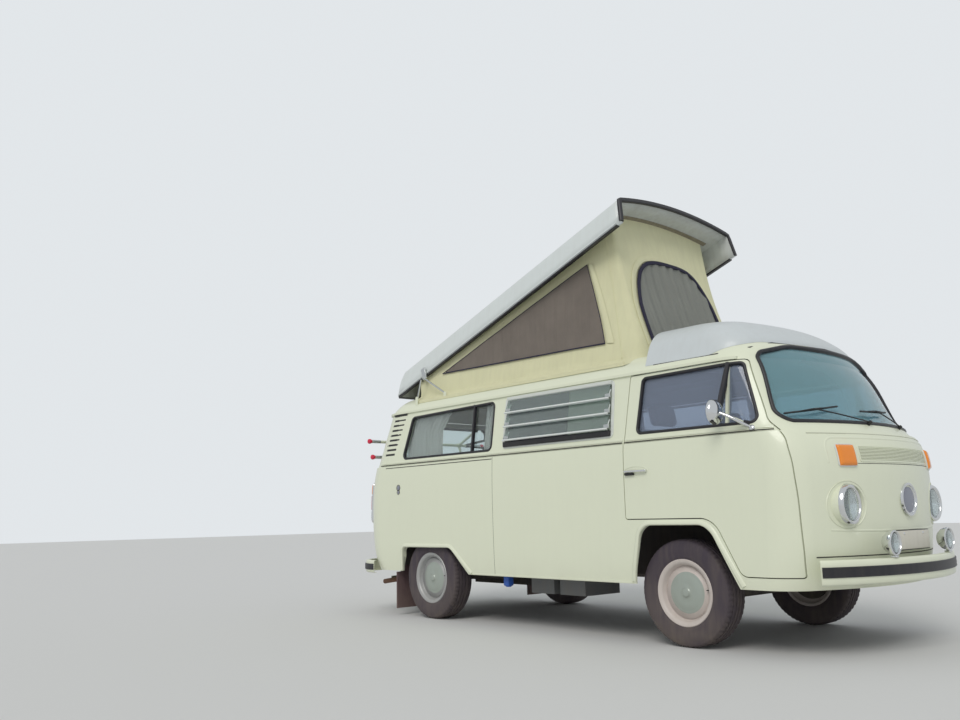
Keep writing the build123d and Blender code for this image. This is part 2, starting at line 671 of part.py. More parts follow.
# Each side's hanger: a plate outside the lid, its foot inside and the pin
WEB_X = (403, 443)
WEB_Y = (697, 705)
WEB_Z = (-37, 60)
lid_parts = [raised(lid_form() - lid_form(LID_WALL))]
for side, web_y in zip((-1, 1), pair(*WEB_Y)):
    foot_y = sorted((side * (LID_EDGE_W - 13), side * (WEB_Y[0] + 1)))
    tab_end = side * (ARM_Y - ARM_R - SEAT_GAP)
    lid_parts.append(raised(block(WEB_X, web_y, WEB_Z)))
    lid_parts.append(raised(block(WEB_X, foot_y, (25, WEB_Z[1]))))
    lid_parts.append(rod((LID_PIN[0], side * (WEB_Y[0] + 1), LID_PIN[1]), (LID_PIN[0], tab_end, LID_PIN[1]), LID_PIN_R))
roof_lid = fused(lid_parts)

roof_arms = []
rear_arms = []
REAR_ARM_TOP = (LID_PIN[0] - 6, LID_PIN[1] - 18)
for side in (-1, 1):
    y = side * ARM_Y
    roof_arms.append(rod((ARM_FOOT[0], y, ARM_FOOT[1]), (LID_PIN[0], y, LID_PIN[1]), ARM_R))
    y = side * REAR_ARM_Y
    rear_arms.append(rod((REAR_ARM_FOOT[0], y, REAR_ARM_FOOT[1]), (REAR_ARM_TOP[0], y, REAR_ARM_TOP[1]), ARM_R))


# Canvas: a thin hollow wedge under the lid
def canvas_form(inset, foot_drop=0):
    top_line = LID_SIDE_H - LID_WALL - 12 - inset
    lid_dir = (cos(radians(LID_ANGLE)), sin(radians(LID_ANGLE)))

    def under_lid(run, height):
        return (
            LID_CORNER[0] + run * lid_dir[0] - height * lid_dir[1],
            LID_CORNER[1] + run * lid_dir[1] + height * lid_dir[0],
        )

    profile = [
        (CANVAS_FOOT_X[0] + inset, CANVAS_FOOT_Z - foot_drop),
        (CANVAS_FOOT_X[1] - inset, CANVAS_FOOT_Z - foot_drop),
        under_lid(CANVAS_TOP_RUN[1] - inset, top_line),
        under_lid(CANVAS_TOP_RUN[0] + inset, top_line),
    ]
    low, high = CANVAS_FOOT_Z - 50, 2900
    wide = CANVAS_FOOT_W + 50 * CANVAS_LEAN - inset
    thin = CANVAS_FOOT_W - (high - CANVAS_FOOT_Z) * CANVAS_LEAN - inset
    corners = [(-3000, -wide, low), (-3000, wide, low), (-3000, thin, high), (-3000, -thin, high)]
    taper = extrude(make_face(Polyline(*corners, close=True)), amount=3000, dir=(1, 0, 0))
    return plain_prism(profile, (-800, 800)) & taper


canvas = canvas_form(0) - canvas_form(CANVAS_WALL, 1) - roof_clear

# Door mirrors on their arms
MIRROR = (400, -930, 1338)
MIRROR_R = 66
mirror_arm = bent_rod([(560, -800, 1245), (500, -885, 1290), (MIRROR[0] + 5, MIRROR[1], MIRROR[2])], 7)
mirror_head = rod((MIRROR[0] + 5, *MIRROR[1:]), (MIRROR[0] - 12, *MIRROR[1:]), MIRROR_R)
door_right = door_panel + mirror_arm + mirror_head

# Bicycle carrier on the tailgate: two cross bars clamped to bent arms
CARRIER_Z = (1330, 1476)
CARRIER_Y = 380
CARRIER_END_Y = 660
COLLAR_HALF = 20
arm_route = [(-3290, 1150), (CARRIER_X + 50, CARRIER_Z[0]), (CARRIER_X, CARRIER_Z[1]), (-3170, 1620)]
carrier_parts = []
for z, x in zip(CARRIER_Z, (CARRIER_X + 50, CARRIER_X)):
    carrier_parts.append(rod((x, -CARRIER_END_Y, z), (x, CARRIER_END_Y, z), CARRIER_R))
    for y in (-CARRIER_Y, CARRIER_Y):
        carrier_parts.append(rod((x, y - COLLAR_HALF, z), (x, y + COLLAR_HALF, z), CARRIER_R + 6))
for y in (-CARRIER_Y, CARRIER_Y):
    carrier_parts.append(bent_rod([(x, y, z) for x, z in arm_route], 12))
tailgate = fused([tailgate, *carrier_parts])


# Writing every node
nodes = {
    "nose": nose,
    "side_right": side_right,
    "side_left": side_left,
    "sliding_door": sliding_door,
    "rear_frame": rear_frame,
    "roof": [roof, *lugs],
    "floor": floor,
    "windscreen": windscreen,
    "side_glass": side_glass,
    "jalousie": jalousie,
    "roof_rack": roof_rack,
    "bumpers": [front_bumper, rear_bumper, plate],
    "front_lamps": front_lamps,
    "signal_lamps": signal_lamps,
    "dashboard": dashboard,
    "seats": seats,
    "furniture": living,
    "curtains": curtains,
    "engine": engine,
    "front_beam": front_beam,
    "rear_axle": rear_axle,
    "underfloor_tanks": tanks,
    "mud_flaps": flaps,
    "canvas": canvas,
    "steering_wheel": steering_wheel,
    "knuckle_right": knuckle,
    "knuckle_left": mirror(knuckle, Plane.XZ),
    "cab_door_right": door_right,
    "cab_door_left": mirror(door_right, Plane.XZ),
    "door_glass_right": door_glass,
    "door_glass_left": mirror(door_glass, Plane.XZ),
    "tailgate": tailgate,
    "tailgate_glass": tailgate_glass,
    "engine_lid": engine_lid,
    "roof_lid": roof_lid,
    "roof_arms": roof_arms,
    "rear_arms": rear_arms,
}
for end, x, track in (("front", 0, FRONT_TRACK), ("rear", -WHEELBASE, REAR_TRACK)):
    for name, side in (("right", -1), ("left", 1)):
        for kind, solid in (("tyre", tyre), ("wheel", wheel)):
            turned_solid = solid if side < 0 else mirror(solid, Plane.XZ)
            nodes[f"{kind}_{end}_{name}"] = Pos(x, side * track / 2, HUB_Z) * turned_solid

os.makedirs("parts", exist_ok=True)
for name, shape in nodes.items():
    solids = []
    for piece in shape if isinstance(shape, list) else [shape]:
        solids.extend(piece.solids())
    whole = Compound(children=[Pos(CENTRE_X, 0, 0) * s for s in solids])
    export_step(whole, f"parts/{name}.step")
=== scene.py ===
# %% [markdown]
# # A camper van with a raised roof
# The van is an assembly of pressed panels, glass, canvas and running gear. Its solids come ready made, in
# metres, with +X towards its nose and +Z up. This file gives every surface its finish, and adds the rubber,
# trim, lamps and cloth that are too fine for a solid.

from math import acos, atan2, cos, degrees, exp, pi, radians, sin, sqrt

import bmesh
import bpy
from mathutils import Matrix, Vector, noise
from mathutils.bvhtree import BVHTree


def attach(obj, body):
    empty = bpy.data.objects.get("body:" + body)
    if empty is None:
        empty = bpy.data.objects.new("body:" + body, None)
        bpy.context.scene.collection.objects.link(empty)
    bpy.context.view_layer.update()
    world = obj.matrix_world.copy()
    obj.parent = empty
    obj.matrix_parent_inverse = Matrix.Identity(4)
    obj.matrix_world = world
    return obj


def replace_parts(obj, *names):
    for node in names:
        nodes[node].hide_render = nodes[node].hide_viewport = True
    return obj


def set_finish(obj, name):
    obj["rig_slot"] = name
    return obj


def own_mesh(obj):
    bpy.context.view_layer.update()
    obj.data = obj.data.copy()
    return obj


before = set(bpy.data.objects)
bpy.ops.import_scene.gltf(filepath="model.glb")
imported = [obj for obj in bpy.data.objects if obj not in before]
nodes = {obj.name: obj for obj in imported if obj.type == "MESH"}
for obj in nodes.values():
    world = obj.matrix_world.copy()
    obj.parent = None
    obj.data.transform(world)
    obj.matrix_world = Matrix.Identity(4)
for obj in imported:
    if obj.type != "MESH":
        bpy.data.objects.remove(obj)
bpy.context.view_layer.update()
FRONT_AXLE_X = 1.1845
MM = 0.001
SIDES = (("right", -1), ("left", 1))
AHEAD = (1, 0, 0)
WALL_LEAN = 0.14


def at(x, y, z):
    """Millimetres from the front axle, the middle and the ground, as a point in metres."""
    return Vector((x * MM + FRONT_AXLE_X, y * MM, z * MM))


# %% [markdown]
# ## Camera
# The viewer stands off the front right corner with the camera at waist height, and looks slightly up. The
# camera is placed by its bearing, pitch and roll rather than by a tracking target, because the three angles
# say exactly how it is held.

# %% Camera
VIEW_FROM = Vector((4.4667, -5.1984, 0.7843))
BEARING, PITCH, ROLL = radians(48.96), radians(10.02), radians(-1.19)
ahead = Vector((-sin(BEARING) * cos(PITCH), cos(BEARING) * cos(PITCH), sin(PITCH)))
level = Vector((cos(BEARING), sin(BEARING), 0))
upward = level.cross(ahead)
right_edge = level * cos(ROLL) + upward * sin(ROLL)
top_edge = upward * cos(ROLL) - level * sin(ROLL)
lens = bpy.data.cameras.new("camera")
lens.lens = 33.116
lens.sensor_width = 36
camera = bpy.data.objects.new("camera", lens)
bpy.context.scene.collection.objects.link(camera)
camera.matrix_world = Matrix.Translation(VIEW_FROM) @ Matrix((right_edge, top_edge,
                                                              -ahead)).transposed().to_4x4()
bpy.context.scene.camera = camera

# %% [markdown]
# ## Light and floor
# An overcast day lights the van from the whole sky, with a weak wide sun from the front right. The world is
# one even colour. What the camera sees of it, also through a pane, is a little paler than what lights the
# van, so the background stays light without clipping the pale paint.

# %% Light and floor
scene = bpy.context.scene
scene.view_settings.view_transform = "Standard"
SKY_LIGHT = 0.62
SKY_SEEN = 0.82


def wire(tree, source, target):
    """Join two sockets."""
    tree.links.new(source, target)


world = bpy.data.worlds.new("overcast_sky")
scene.world = world
world.use_nodes = True
sky = world.node_tree
background = sky.nodes["Background"]
background.inputs["Color"].default_value = (0.93, 0.97, 1.0, 1)
ray = sky.nodes.new("ShaderNodeLightPath")
mirrored = sky.nodes.new("ShaderNodeMath")
mirrored.operation = "MAXIMUM"
wire(sky, ray.outputs["Is Camera Ray"], mirrored.inputs[0])
wire(sky, ray.outputs["Is Transmission Ray"], mirrored.inputs[1])
seen = sky.nodes.new("ShaderNodeMix")
seen.inputs[2].default_value = SKY_LIGHT
seen.inputs[3].default_value = SKY_SEEN
wire(sky, mirrored.outputs[0], seen.inputs[0])
wire(sky, seen.outputs[0], background.inputs["Strength"])

SUN_STRENGTH = 1.15
sun_light = bpy.data.lights.new("weak_sun", "SUN")
sun_light.energy = SUN_STRENGTH
sun_light.angle = radians(28)
sun_light.color = (1.0, 0.97, 0.92)
sun = bpy.data.objects.new("weak_sun", sun_light)
sun.rotation_euler = (radians(48), 0, radians(28))
scene.collection.objects.link(sun)


def srgb(red, green, blue):
    """A colour as it is read on screen, 0 to 255, in linear light."""
    def linear(c):
        c /= 255
        return c / 12.92 if c <= 0.04045 else ((c + 0.055) / 1.055) ** 2.4
    return (linear(red), linear(green), linear(blue), 1)


floor_mesh = bpy.data.meshes.new("studio_floor")
FLOOR_HALF = 40
floor_mesh.from_pydata(
    [(x * FLOOR_HALF, y * FLOOR_HALF, 0) for x, y in ((-1, -1), (1, -1), (1, 1), (-1, 1))], [], [(0, 1, 2, 3)]
)
studio_floor = bpy.data.objects.new("studio_floor", floor_mesh)
scene.collection.objects.link(studio_floor)
floor_finish = bpy.data.materials.new("studio_floor")
floor_finish.use_nodes = True
floor_shader = floor_finish.node_tree.nodes["Principled BSDF"]
floor_shader.inputs["Base Color"].default_value = (0.66, 0.66, 0.65, 1)
floor_shader.inputs["Roughness"].default_value = 0.9
floor_mesh.materials.append(floor_finish)

# %% [markdown]
# ## Shared effects
# Outdoor vehicles share a few effects: road dust that thickens towards the ground, rain streaks down the
# panels, the slight waviness of sprayed paint, and the weave of cloth. Each is a node group with named
# inputs, so that every material places the same effect with its own strength and scale. The groups put out
# colours, masks and heights only, and the shader stays in the material.

# %% Node group helpers
def new_group(name, inputs, outputs):
    """An empty shader group from (name, kind, default) inputs and (name, kind) outputs."""
    group = bpy.data.node_groups.new(name, "ShaderNodeTree")
    for title, kind, value in inputs:
        socket = group.interface.new_socket(title, in_out="INPUT", socket_type=kind)
        socket.default_value = value
    for title, kind in outputs:
        group.interface.new_socket(title, in_out="OUTPUT", socket_type=kind)
    return group, group.nodes.new("NodeGroupInput"), group.nodes.new("NodeGroupOutput")


def node(tree, kind, **values):
    """A new node, with its settings and its inputs given by name."""
    made = tree.nodes.new(kind)
    for key, value in values.items():
        if hasattr(made, key):
            setattr(made, key, value)
        else:
            made.inputs[key.replace("_", " ")].default_value = value
    return made


def maths(tree, operation, a, b):
    """A maths node on two sockets or numbers."""
    made = node(tree, "ShaderNodeMath", operation=operation)
    for socket, value in zip(made.inputs, (a, b)):
        if isinstance(value, (int, float)):
            socket.default_value = value
        else:
            wire(tree, value, socket)
    return made.outputs[0]


def mixed(tree, share, a, b):
    """A colour mix of two sockets."""
    made = node(tree, "ShaderNodeMix", data_type="RGBA")
    wire(tree, share, made.inputs[0])
    wire(tree, a, made.inputs[6])
    wire(tree, b, made.inputs[7])
    return made.outputs[2]


def noise_field(tree, scale, stretch=(1, 1, 1), detail=3.0, rough=0.55):
    """Noise over the piece's own coordinates, stretched by an axis scale."""
    where = tree.nodes.new("ShaderNodeTexCoord")
    mapping = node(tree, "ShaderNodeMapping")
    mapping.inputs["Scale"].default_value = stretch
    field = node(tree, "ShaderNodeTexNoise", Detail=detail, Roughness=rough)
    if isinstance(scale, (int, float)):
        field.inputs["Scale"].default_value = scale
    else:
        wire(tree, scale, field.inputs["Scale"])
    wire(tree, where.outputs["Object"], mapping.inputs["Vector"])
    wire(tree, mapping.outputs["Vector"], field.inputs["Vector"])
    return field.outputs["Fac"]


def ranged(tree, value, low, high, to_low=0.0, to_high=1.0):
    """A value mapped from one range to another, clamped."""
    made = node(tree, "ShaderNodeMapRange")
    for name, entry in (("From Min", low), ("From Max", high), ("To Min", to_low), ("To Max", to_high)):
        if isinstance(entry, (int, float)):
            made.inputs[name].default_value = entry
        else:
            wire(tree, entry, made.inputs[name])
    wire(tree, value, made.inputs["Value"])
    return made.outputs["Result"]


# %% Road dust and rain streaks
dust_group, entry, leave = new_group("road_dust",
                                     [("Colour", "NodeSocketColor", (0.5, 0.5, 0.5, 1)),
                                      ("Dust Colour", "NodeSocketColor", (0.3, 0.26, 0.2, 1)),
                                      ("Amount", "NodeSocketFloat", 0.4),
                                      ("Clean Height", "NodeSocketFloat", 0.9),
                                      ("Everywhere", "NodeSocketFloat", 0.05)],
                                     [("Colour", "NodeSocketColor"), ("Mask", "NodeSocketFloat")])
where = dust_group.nodes.new("ShaderNodeTexCoord")
split = dust_group.nodes.new("ShaderNodeSeparateXYZ")
wire(dust_group, where.outputs["Object"], split.inputs[0])
low_down = ranged(dust_group, split.outputs["Z"], entry.outputs["Clean Height"], 0.05)
low_down = maths(dust_group, "POWER", low_down, 2.0)
patches = ranged(dust_group, noise_field(dust_group, 5.0, detail=6.0), 0.35, 0.75)
streaks = ranged(dust_group, noise_field(dust_group, 9.0, (3, 3, 0.3), detail=4.0), 0.4, 0.8)
spread = maths(dust_group, "MULTIPLY", low_down, maths(dust_group, "ADD", 0.35, patches))
film = maths(dust_group, "MULTIPLY", streaks, entry.outputs["Everywhere"])
mask = maths(dust_group, "ADD", maths(dust_group, "MULTIPLY", spread, entry.outputs["Amount"]), film)
mask = maths(dust_group, "MINIMUM", mask, 0.9)
wire(dust_group, mixed(dust_group, mask, entry.outputs["Colour"], entry.outputs["Dust Colour"]),
     leave.inputs["Colour"])
wire(dust_group, mask, leave.inputs["Mask"])

# %% Uneven tone
tone_group, entry, leave = new_group("uneven_tone",
                                     [("Colour", "NodeSocketColor", (0.5, 0.5, 0.5, 1)),
                                      ("Scale", "NodeSocketFloat", 4.0), ("Swing", "NodeSocketFloat", 0.06)],
                                     [("Colour", "NodeSocketColor"), ("Shade", "NodeSocketFloat")])
shade = noise_field(tone_group, entry.outputs["Scale"], detail=5.0)
lift = maths(tone_group, "ADD", 1.0,
             maths(tone_group, "MULTIPLY", maths(tone_group, "SUBTRACT", shade, 0.5), entry.outputs["Swing"]))
scaled = node(tone_group, "ShaderNodeVectorMath", operation="SCALE")
wire(tone_group, entry.outputs["Colour"], scaled.inputs[0])
wire(tone_group, lift, scaled.inputs["Scale"])
wire(tone_group, scaled.outputs[0], leave.inputs["Colour"])
wire(tone_group, shade, leave.inputs["Shade"])

# %% Grain and weave
grain_group, entry, leave = new_group(
    "fine_grain",
    [("Scale", "NodeSocketFloat", 300.0), ("Stretch Mix", "NodeSocketFloat", 0.0)],
    [("Height", "NodeSocketFloat")],
)
even = noise_field(grain_group, entry.outputs["Scale"], detail=2.0)
drawn = noise_field(grain_group, entry.outputs["Scale"], (0.06, 1, 1), detail=2.0)
blended = node(grain_group, "ShaderNodeMix")
wire(grain_group, entry.outputs["Stretch Mix"], blended.inputs[0])
wire(grain_group, even, blended.inputs[2])
wire(grain_group, drawn, blended.inputs[3])
wire(grain_group, blended.outputs[0], leave.inputs["Height"])

weave_group, entry, leave = new_group(
    "cloth_weave",
    [("Thread", "NodeSocketFloat", 500.0), ("Slub", "NodeSocketFloat", 0.4)],
    [("Height", "NodeSocketFloat")],
)
where = weave_group.nodes.new("ShaderNodeTexCoord")
threads = []
for turn in ("X", "Z"):
    wave = node(weave_group, "ShaderNodeTexWave", wave_type="BANDS", bands_direction=turn, Distortion=1.5)
    wire(weave_group, where.outputs["Object"], wave.inputs["Vector"])
    wire(weave_group, entry.outputs["Thread"], wave.inputs["Scale"])
    threads.append(wave.outputs["Fac"])
crossing = maths(weave_group, "MAXIMUM", *threads)
slub = maths(weave_group, "MULTIPLY", noise_field(weave_group, 60.0, (1, 1, 4)), entry.outputs["Slub"])
wire(weave_group, maths(weave_group, "ADD", crossing, slub), leave.inputs["Height"])
print("effects", [g.name for g in bpy.data.node_groups])

# %% [markdown]
# ## Finishes
# A finish starts from one colour. The tone group makes it uneven, the dust group soils it, and a fine grain
# or a weave gives a Bump node its height. Everything that is the same all over the surface, such as the
# roughness of chrome or the coat on paint, is a number on the shader's own socket.

# %% Finish builder
ROAD_DUST = srgb(150, 138, 118)


def place_group(tree, group, **values):
    """A group placed in a material, with its inputs by name."""
    made = tree.nodes.new("ShaderNodeGroup")
    made.node_tree = group
    for key, value in values.items():
        made.inputs[key.replace("_", " ")].default_value = value
    return made


def finish(name, colour, rough, metal=0.0, coat=0.0, swing=0.05, tone=4.0, dust=0.0, clean_height=0.9,
           film=0.03, grain=None, weave=None, sheen=0.0, extra=None):
    """A material: base colour, tone, dust and grain, with its constants on the shader."""
    material = bpy.data.materials.new(name)
    material.use_nodes = True
    tree = material.node_tree
    shader = tree.nodes["Principled BSDF"]
    shader.inputs["Metallic"].default_value = metal
    shader.inputs["Coat Weight"].default_value = coat
    shader.inputs["Coat Roughness"].default_value = 0.12
    shader.inputs["Sheen Weight"].default_value = sheen
    toned = place_group(tree, tone_group, Colour=colour, Scale=tone, Swing=swing)
    soiled = place_group(tree, dust_group, Dust_Colour=ROAD_DUST, Amount=dust, Clean_Height=clean_height,
                         Everywhere=film)
    wire(tree, toned.outputs["Colour"], soiled.inputs["Colour"])
    wire(tree, soiled.outputs["Colour"], shader.inputs["Base Color"])
    roughness = maths(tree, "ADD", maths(tree, "MULTIPLY", soiled.outputs["Mask"], 0.45), rough)
    wire(tree, maths(tree, "MINIMUM", roughness, 1.0), shader.inputs["Roughness"])
    bump = node(tree, "ShaderNodeBump", Strength=1.0)
    if weave:
        thread, depth = weave
        source = place_group(tree, weave_group, Thread=thread)
    else:
        scale, depth, *drawn = grain or (400.0, 0.00002)
        source = place_group(tree, grain_group, Scale=scale, Stretch_Mix=drawn[0] if drawn else 0.0)
    bump.inputs["Distance"].default_value = depth
    wire(tree, source.outputs["Height"], bump.inputs["Height"])
    wire(tree, bump.outputs["Normal"], shader.inputs["Normal"])
    for key, value in (extra or {}).items():
        shader.inputs[key].default_value = value
    return material


# %% Finishes of the van
CREAM = srgb(226, 230, 207)
body_paint = finish("cream_body_paint", CREAM, 0.34, coat=0.35, dust=0.5, clean_height=0.62, film=0.02,
                    grain=(90.0, 0.0001), tone=1.6, swing=0.03)
shell_white = finish("white_roof_shell", srgb(216, 222, 221), 0.36, coat=0.2, film=0.07,
                     grain=(140.0, 0.00012), swing=0.05)
tray_white = finish("white_tray", srgb(203, 209, 211), 0.4, coat=0.15, film=0.07, grain=(140.0, 0.00012))
seal_rubber = finish("black_seal_rubber", srgb(34, 34, 40), 0.42, film=0.05, swing=0.2,
                     grain=(250.0, 0.00012))
chrome = finish("chrome", (0.78, 0.79, 0.8, 1), 0.13, metal=1.0, film=0.06, swing=0.04)
aluminium = finish("aluminium", (0.62, 0.64, 0.64, 1), 0.34, metal=1.0, film=0.08,
                   grain=(600.0, 0.00004, 1.0))
painted_frame = finish("pale_window_frame", srgb(214, 218, 212), 0.38, film=0.06, grain=(200.0, 0.00008))
tyre_rubber = finish("tyre_rubber", srgb(66, 58, 68), 0.78, dust=0.22, clean_height=0.7, film=0.16,
                     swing=0.15, grain=(160.0, 0.0004))
front_rim = finish("cream_rim_paint", srgb(206, 196, 190), 0.45, dust=0.2, clean_height=0.6, film=0.12,
                   swing=0.12, tone=14.0)
rear_rim = finish("grey_rim_paint", srgb(172, 173, 173), 0.4, metal=0.3, dust=0.2, clean_height=0.6,
                  film=0.12, swing=0.14, tone=14.0)
cap_paint = finish("grey_green_cap", srgb(168, 176, 168), 0.34, metal=0.35, film=0.10, swing=0.08, tone=10.0)
lamp_orange = finish("orange_lens", srgb(250, 146, 44), 0.2, coat=0.5, swing=0.08, tone=30.0,
                     extra={"Transmission Weight": 0.08, "IOR": 1.49})
lamp_red = finish("red_lens", srgb(178, 28, 26), 0.2, coat=0.5, swing=0.08, tone=30.0,
                  extra={"Transmission Weight": 0.1, "IOR": 1.49})
dark_metal = finish("dark_running_gear", srgb(50, 47, 48), 0.7, dust=0.35, clean_height=0.7, film=0.2,
                    swing=0.3, grain=(120.0, 0.0006))
underseal = finish("underseal", srgb(78, 74, 74), 0.85, dust=0.35, clean_height=0.8, film=0.15, swing=0.2,
                   grain=(90.0, 0.0008))
grey_tank = finish("grey_tank", srgb(120, 122, 124), 0.6, dust=0.3, clean_height=0.5, film=0.15, swing=0.1)
flap_rubber = finish("brown_mud_flap", srgb(98, 76, 80), 0.85, dust=0.3, clean_height=0.5, film=0.12,
                     swing=0.25, grain=(120.0, 0.0004))
exhaust_steel = finish("brown_exhaust", srgb(116, 82, 66), 0.75, metal=0.3, dust=0.2, swing=0.4, tone=25.0,
                       grain=(150.0, 0.0005))
black_trim = finish("black_trim", srgb(34, 34, 37), 0.5, film=0.04, swing=0.1, grain=(260.0, 0.00025))
wheel_black = finish("black_steering_rim", srgb(30, 29, 31), 0.4, film=0.02, grain=(220.0, 0.0001))
seat_cloth = finish("brown_seat_cloth", srgb(150, 118, 92), 0.9, swing=0.15, tone=25.0, weave=(160.0, 0.0008),
                    sheen=0.3)
laminate = finish("beech_laminate", srgb(176, 150, 112), 0.45, swing=0.25, tone=18.0,
                  grain=(60.0, 0.0001, 1.0))
curtain_cloth = finish("pale_curtain", srgb(226, 224, 218), 0.9, swing=0.08, tone=12.0, weave=(220.0, 0.0006),
                       sheen=0.2)
blue_plastic = finish("blue_socket_plastic", srgb(40, 92, 186), 0.45, film=0.08, swing=0.08,
                      grain=(300.0, 0.0001))
red_knob = finish("red_knob_plastic", srgb(214, 40, 74), 0.35, coat=0.2, film=0.05, swing=0.06)
# Blue-grey painted shade, for the nose disc's face and the filler caps.
shade_blue_grey = finish("blue_grey_painted_shade", srgb(132, 136, 150), 0.35, coat=0.3, film=0.06, swing=0.05)
print("finishes", len(bpy.data.materials))

# %% Canvas finishes
canvas_cloth = finish("yellow_beige_canvas", srgb(227, 225, 186), 0.85, swing=0.14, tone=3.2, film=0.10,
                      weave=(240.0, 0.0006), sheen=0.1)
canvas_facing = finish("stitched_facing", srgb(226, 224, 186), 0.85, swing=0.08, tone=8.0, film=0.06,
                       weave=(240.0, 0.0006), sheen=0.1)
navy_binding = finish("navy_binding", srgb(40, 38, 62), 0.8, swing=0.15, tone=20.0, weave=(260.0, 0.0006))
mesh_cloth = finish("grey_brown_mesh", srgb(132, 123, 115), 0.9, swing=0.4, tone=6.0, weave=(190.0, 0.0012))
arch_curtain = finish("grey_olive_curtain", srgb(142, 144, 138), 0.9, swing=0.15, tone=6.0,
                      weave=(200.0, 0.0010))

# %% [markdown]
# ## Glass
# Window glass is a thin, closed pane with a faint blue-green tint. It lets light through by transmission,
# so the cab shows behind it, and its reflections come from the shader. Where a pane is less than fully clear,
# the rest of its tint is diffuse colour, a painted reflection: blue on the cab doors, teal on the windscreen.
# The lamp lenses share the recipe.

# %% Glass finishes
def glass(name, colour, rough, grain=None, clear=1.0):
    """A clear material with a tint that a faint noise varies; below 1, the rest of the tint is diffuse, a
    painted reflection.
    """
    material = bpy.data.materials.new(name)
    material.use_nodes = True
    tree = material.node_tree
    shader = tree.nodes["Principled BSDF"]
    shader.inputs["Transmission Weight"].default_value = clear
    shader.inputs["IOR"].default_value = 1.45
    toned = place_group(tree, tone_group, Colour=colour, Scale=2.5, Swing=0.06)
    wire(tree, toned.outputs["Colour"], shader.inputs["Base Color"])
    smear = ranged(tree, noise_field(tree, 7.0, (1, 1, 0.5)), 0.4, 0.9, rough, rough + 0.03)
    wire(tree, smear, shader.inputs["Roughness"])
    if grain:
        bump = node(tree, "ShaderNodeBump", Strength=1.0, Distance=grain[1])
        source = place_group(tree, grain_group, Scale=grain[0])
        wire(tree, source.outputs["Height"], bump.inputs["Height"])
        wire(tree, bump.outputs["Normal"], shader.inputs["Normal"])
    return material


window_glass = glass("window_glass", srgb(228, 237, 237), 0.0, clear=0.96)
# The cab's door panes and windscreen keep about a third of their tint diffuse: painted reflection of sky and
# trees.
cab_glass_painted_reflection = glass("cab_door_glass", srgb(166, 178, 200), 0.0, clear=0.66)
screen_glass_painted_reflection = glass("windscreen_glass", srgb(158, 204, 214), 0.0, clear=0.64)
slat_glass = glass("slat_glass", srgb(208, 222, 218), 0.0, clear=0.84)
lens_glass = glass("lamp_glass", srgb(232, 238, 238), 0.02, grain=(55.0, 0.0012))

# %% [markdown]
# ## Making and fastening pieces
# Most trim is either a line with a cross-section, such as a seal that follows a window, or a turned form,
# such as a lamp ring. A swept mesh keeps its section square to the panel it lies on, which a bevelled curve
# doesn't, so seals and mouldings are swept, and only round bars are curves.

# %% Piece helpers
made_pieces = []
SHARP_ANGLE = radians(38)
WELD = 0.00002


def fasten(piece, material, body, slot=None):
    """Finish a piece, and make it ride on a body."""
    piece.data.materials.clear()
    piece.data.materials.append(material)
    if piece.type == "MESH":
        piece.data.shade_smooth()
        piece.data.set_sharp_from_angle(angle=SHARP_ANGLE)
    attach(piece, body)
    if slot:
        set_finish(piece, slot)
    made_pieces.append(piece.name)
    return piece


def new_piece(name, points, faces, material, body="van_body", slot=None):
    """A mesh piece from points and faces, in place."""
    mesh = bpy.data.meshes.new(name)
    mesh.from_pydata([tuple(p) for p in points], [], faces)
    shape = bmesh.new()
    shape.from_mesh(mesh)
    bmesh.ops.recalc_face_normals(shape, faces=shape.faces)
    shape.to_mesh(mesh)
    shape.free()
    piece = bpy.data.objects.new(name, mesh)
    scene.collection.objects.link(piece)
    return fasten(piece, material, body, slot)


def grid_faces(rows, columns, wrap_rows=False, wrap_columns=False):
    """Quads of a grid of points that is stored row by row."""
    faces = []
    for r in range(rows if wrap_rows else rows - 1):
        for c in range(columns if wrap_columns else columns - 1):
            r2, c2 = (r + 1) % rows, (c + 1) % columns
            faces.append((r * columns + c, r * columns + c2, r2 * columns + c2, r2 * columns + c))
    return faces


def sweep(name, path, outward, section, material, body="van_body", closed=False, slot=None):
    """A section of (across, out) millimetres carried along a path of points."""
    points = []
    count = len(path)
    for i, (place, out) in enumerate(zip(path, outward)):
        after = path[(i + 1) % count] if closed or i < count - 1 else path[i]
        before = path[i - 1] if closed or i > 0 else path[i]
        along = (after - before).normalized()
        out = (out - along * out.dot(along)).normalized()
        across = along.cross(out)
        points += [place + across * a * MM + out * o * MM for a, o in section]
    faces = grid_faces(count, len(section), wrap_rows=closed, wrap_columns=True)
    if not closed:
        faces += [tuple(range(len(section)))[::-1], tuple(range(len(points) - len(section), len(points)))]
    return new_piece(name, points, faces, material, body, slot)


def lathe(name, profile, centre, axis, material, body="van_body", steps=48, slot=None):
    """A turned piece from (radius, run) millimetres; the run goes along axis, a unit vector."""
    axis = Vector(axis)
    side = axis.orthogonal().normalized()
    other = axis.cross(side)
    points = []
    for i in range(steps):
        turn = side * cos(2 * pi * i / steps) + other * sin(2 * pi * i / steps)
        points += [centre + turn * r * MM + axis * run * MM for r, run in profile]
    faces = grid_faces(steps, len(profile), wrap_rows=True)
    piece = new_piece(name, points, faces, material, body, slot)
    shape = bmesh.new()
    shape.from_mesh(piece.data)
    bmesh.ops.remove_doubles(shape, verts=shape.verts, dist=WELD)
    bmesh.ops.holes_fill(shape, edges=shape.edges, sides=0)
    bmesh.ops.recalc_face_normals(shape, faces=shape.faces)
    shape.to_mesh(piece.data)
    shape.free()
    return piece


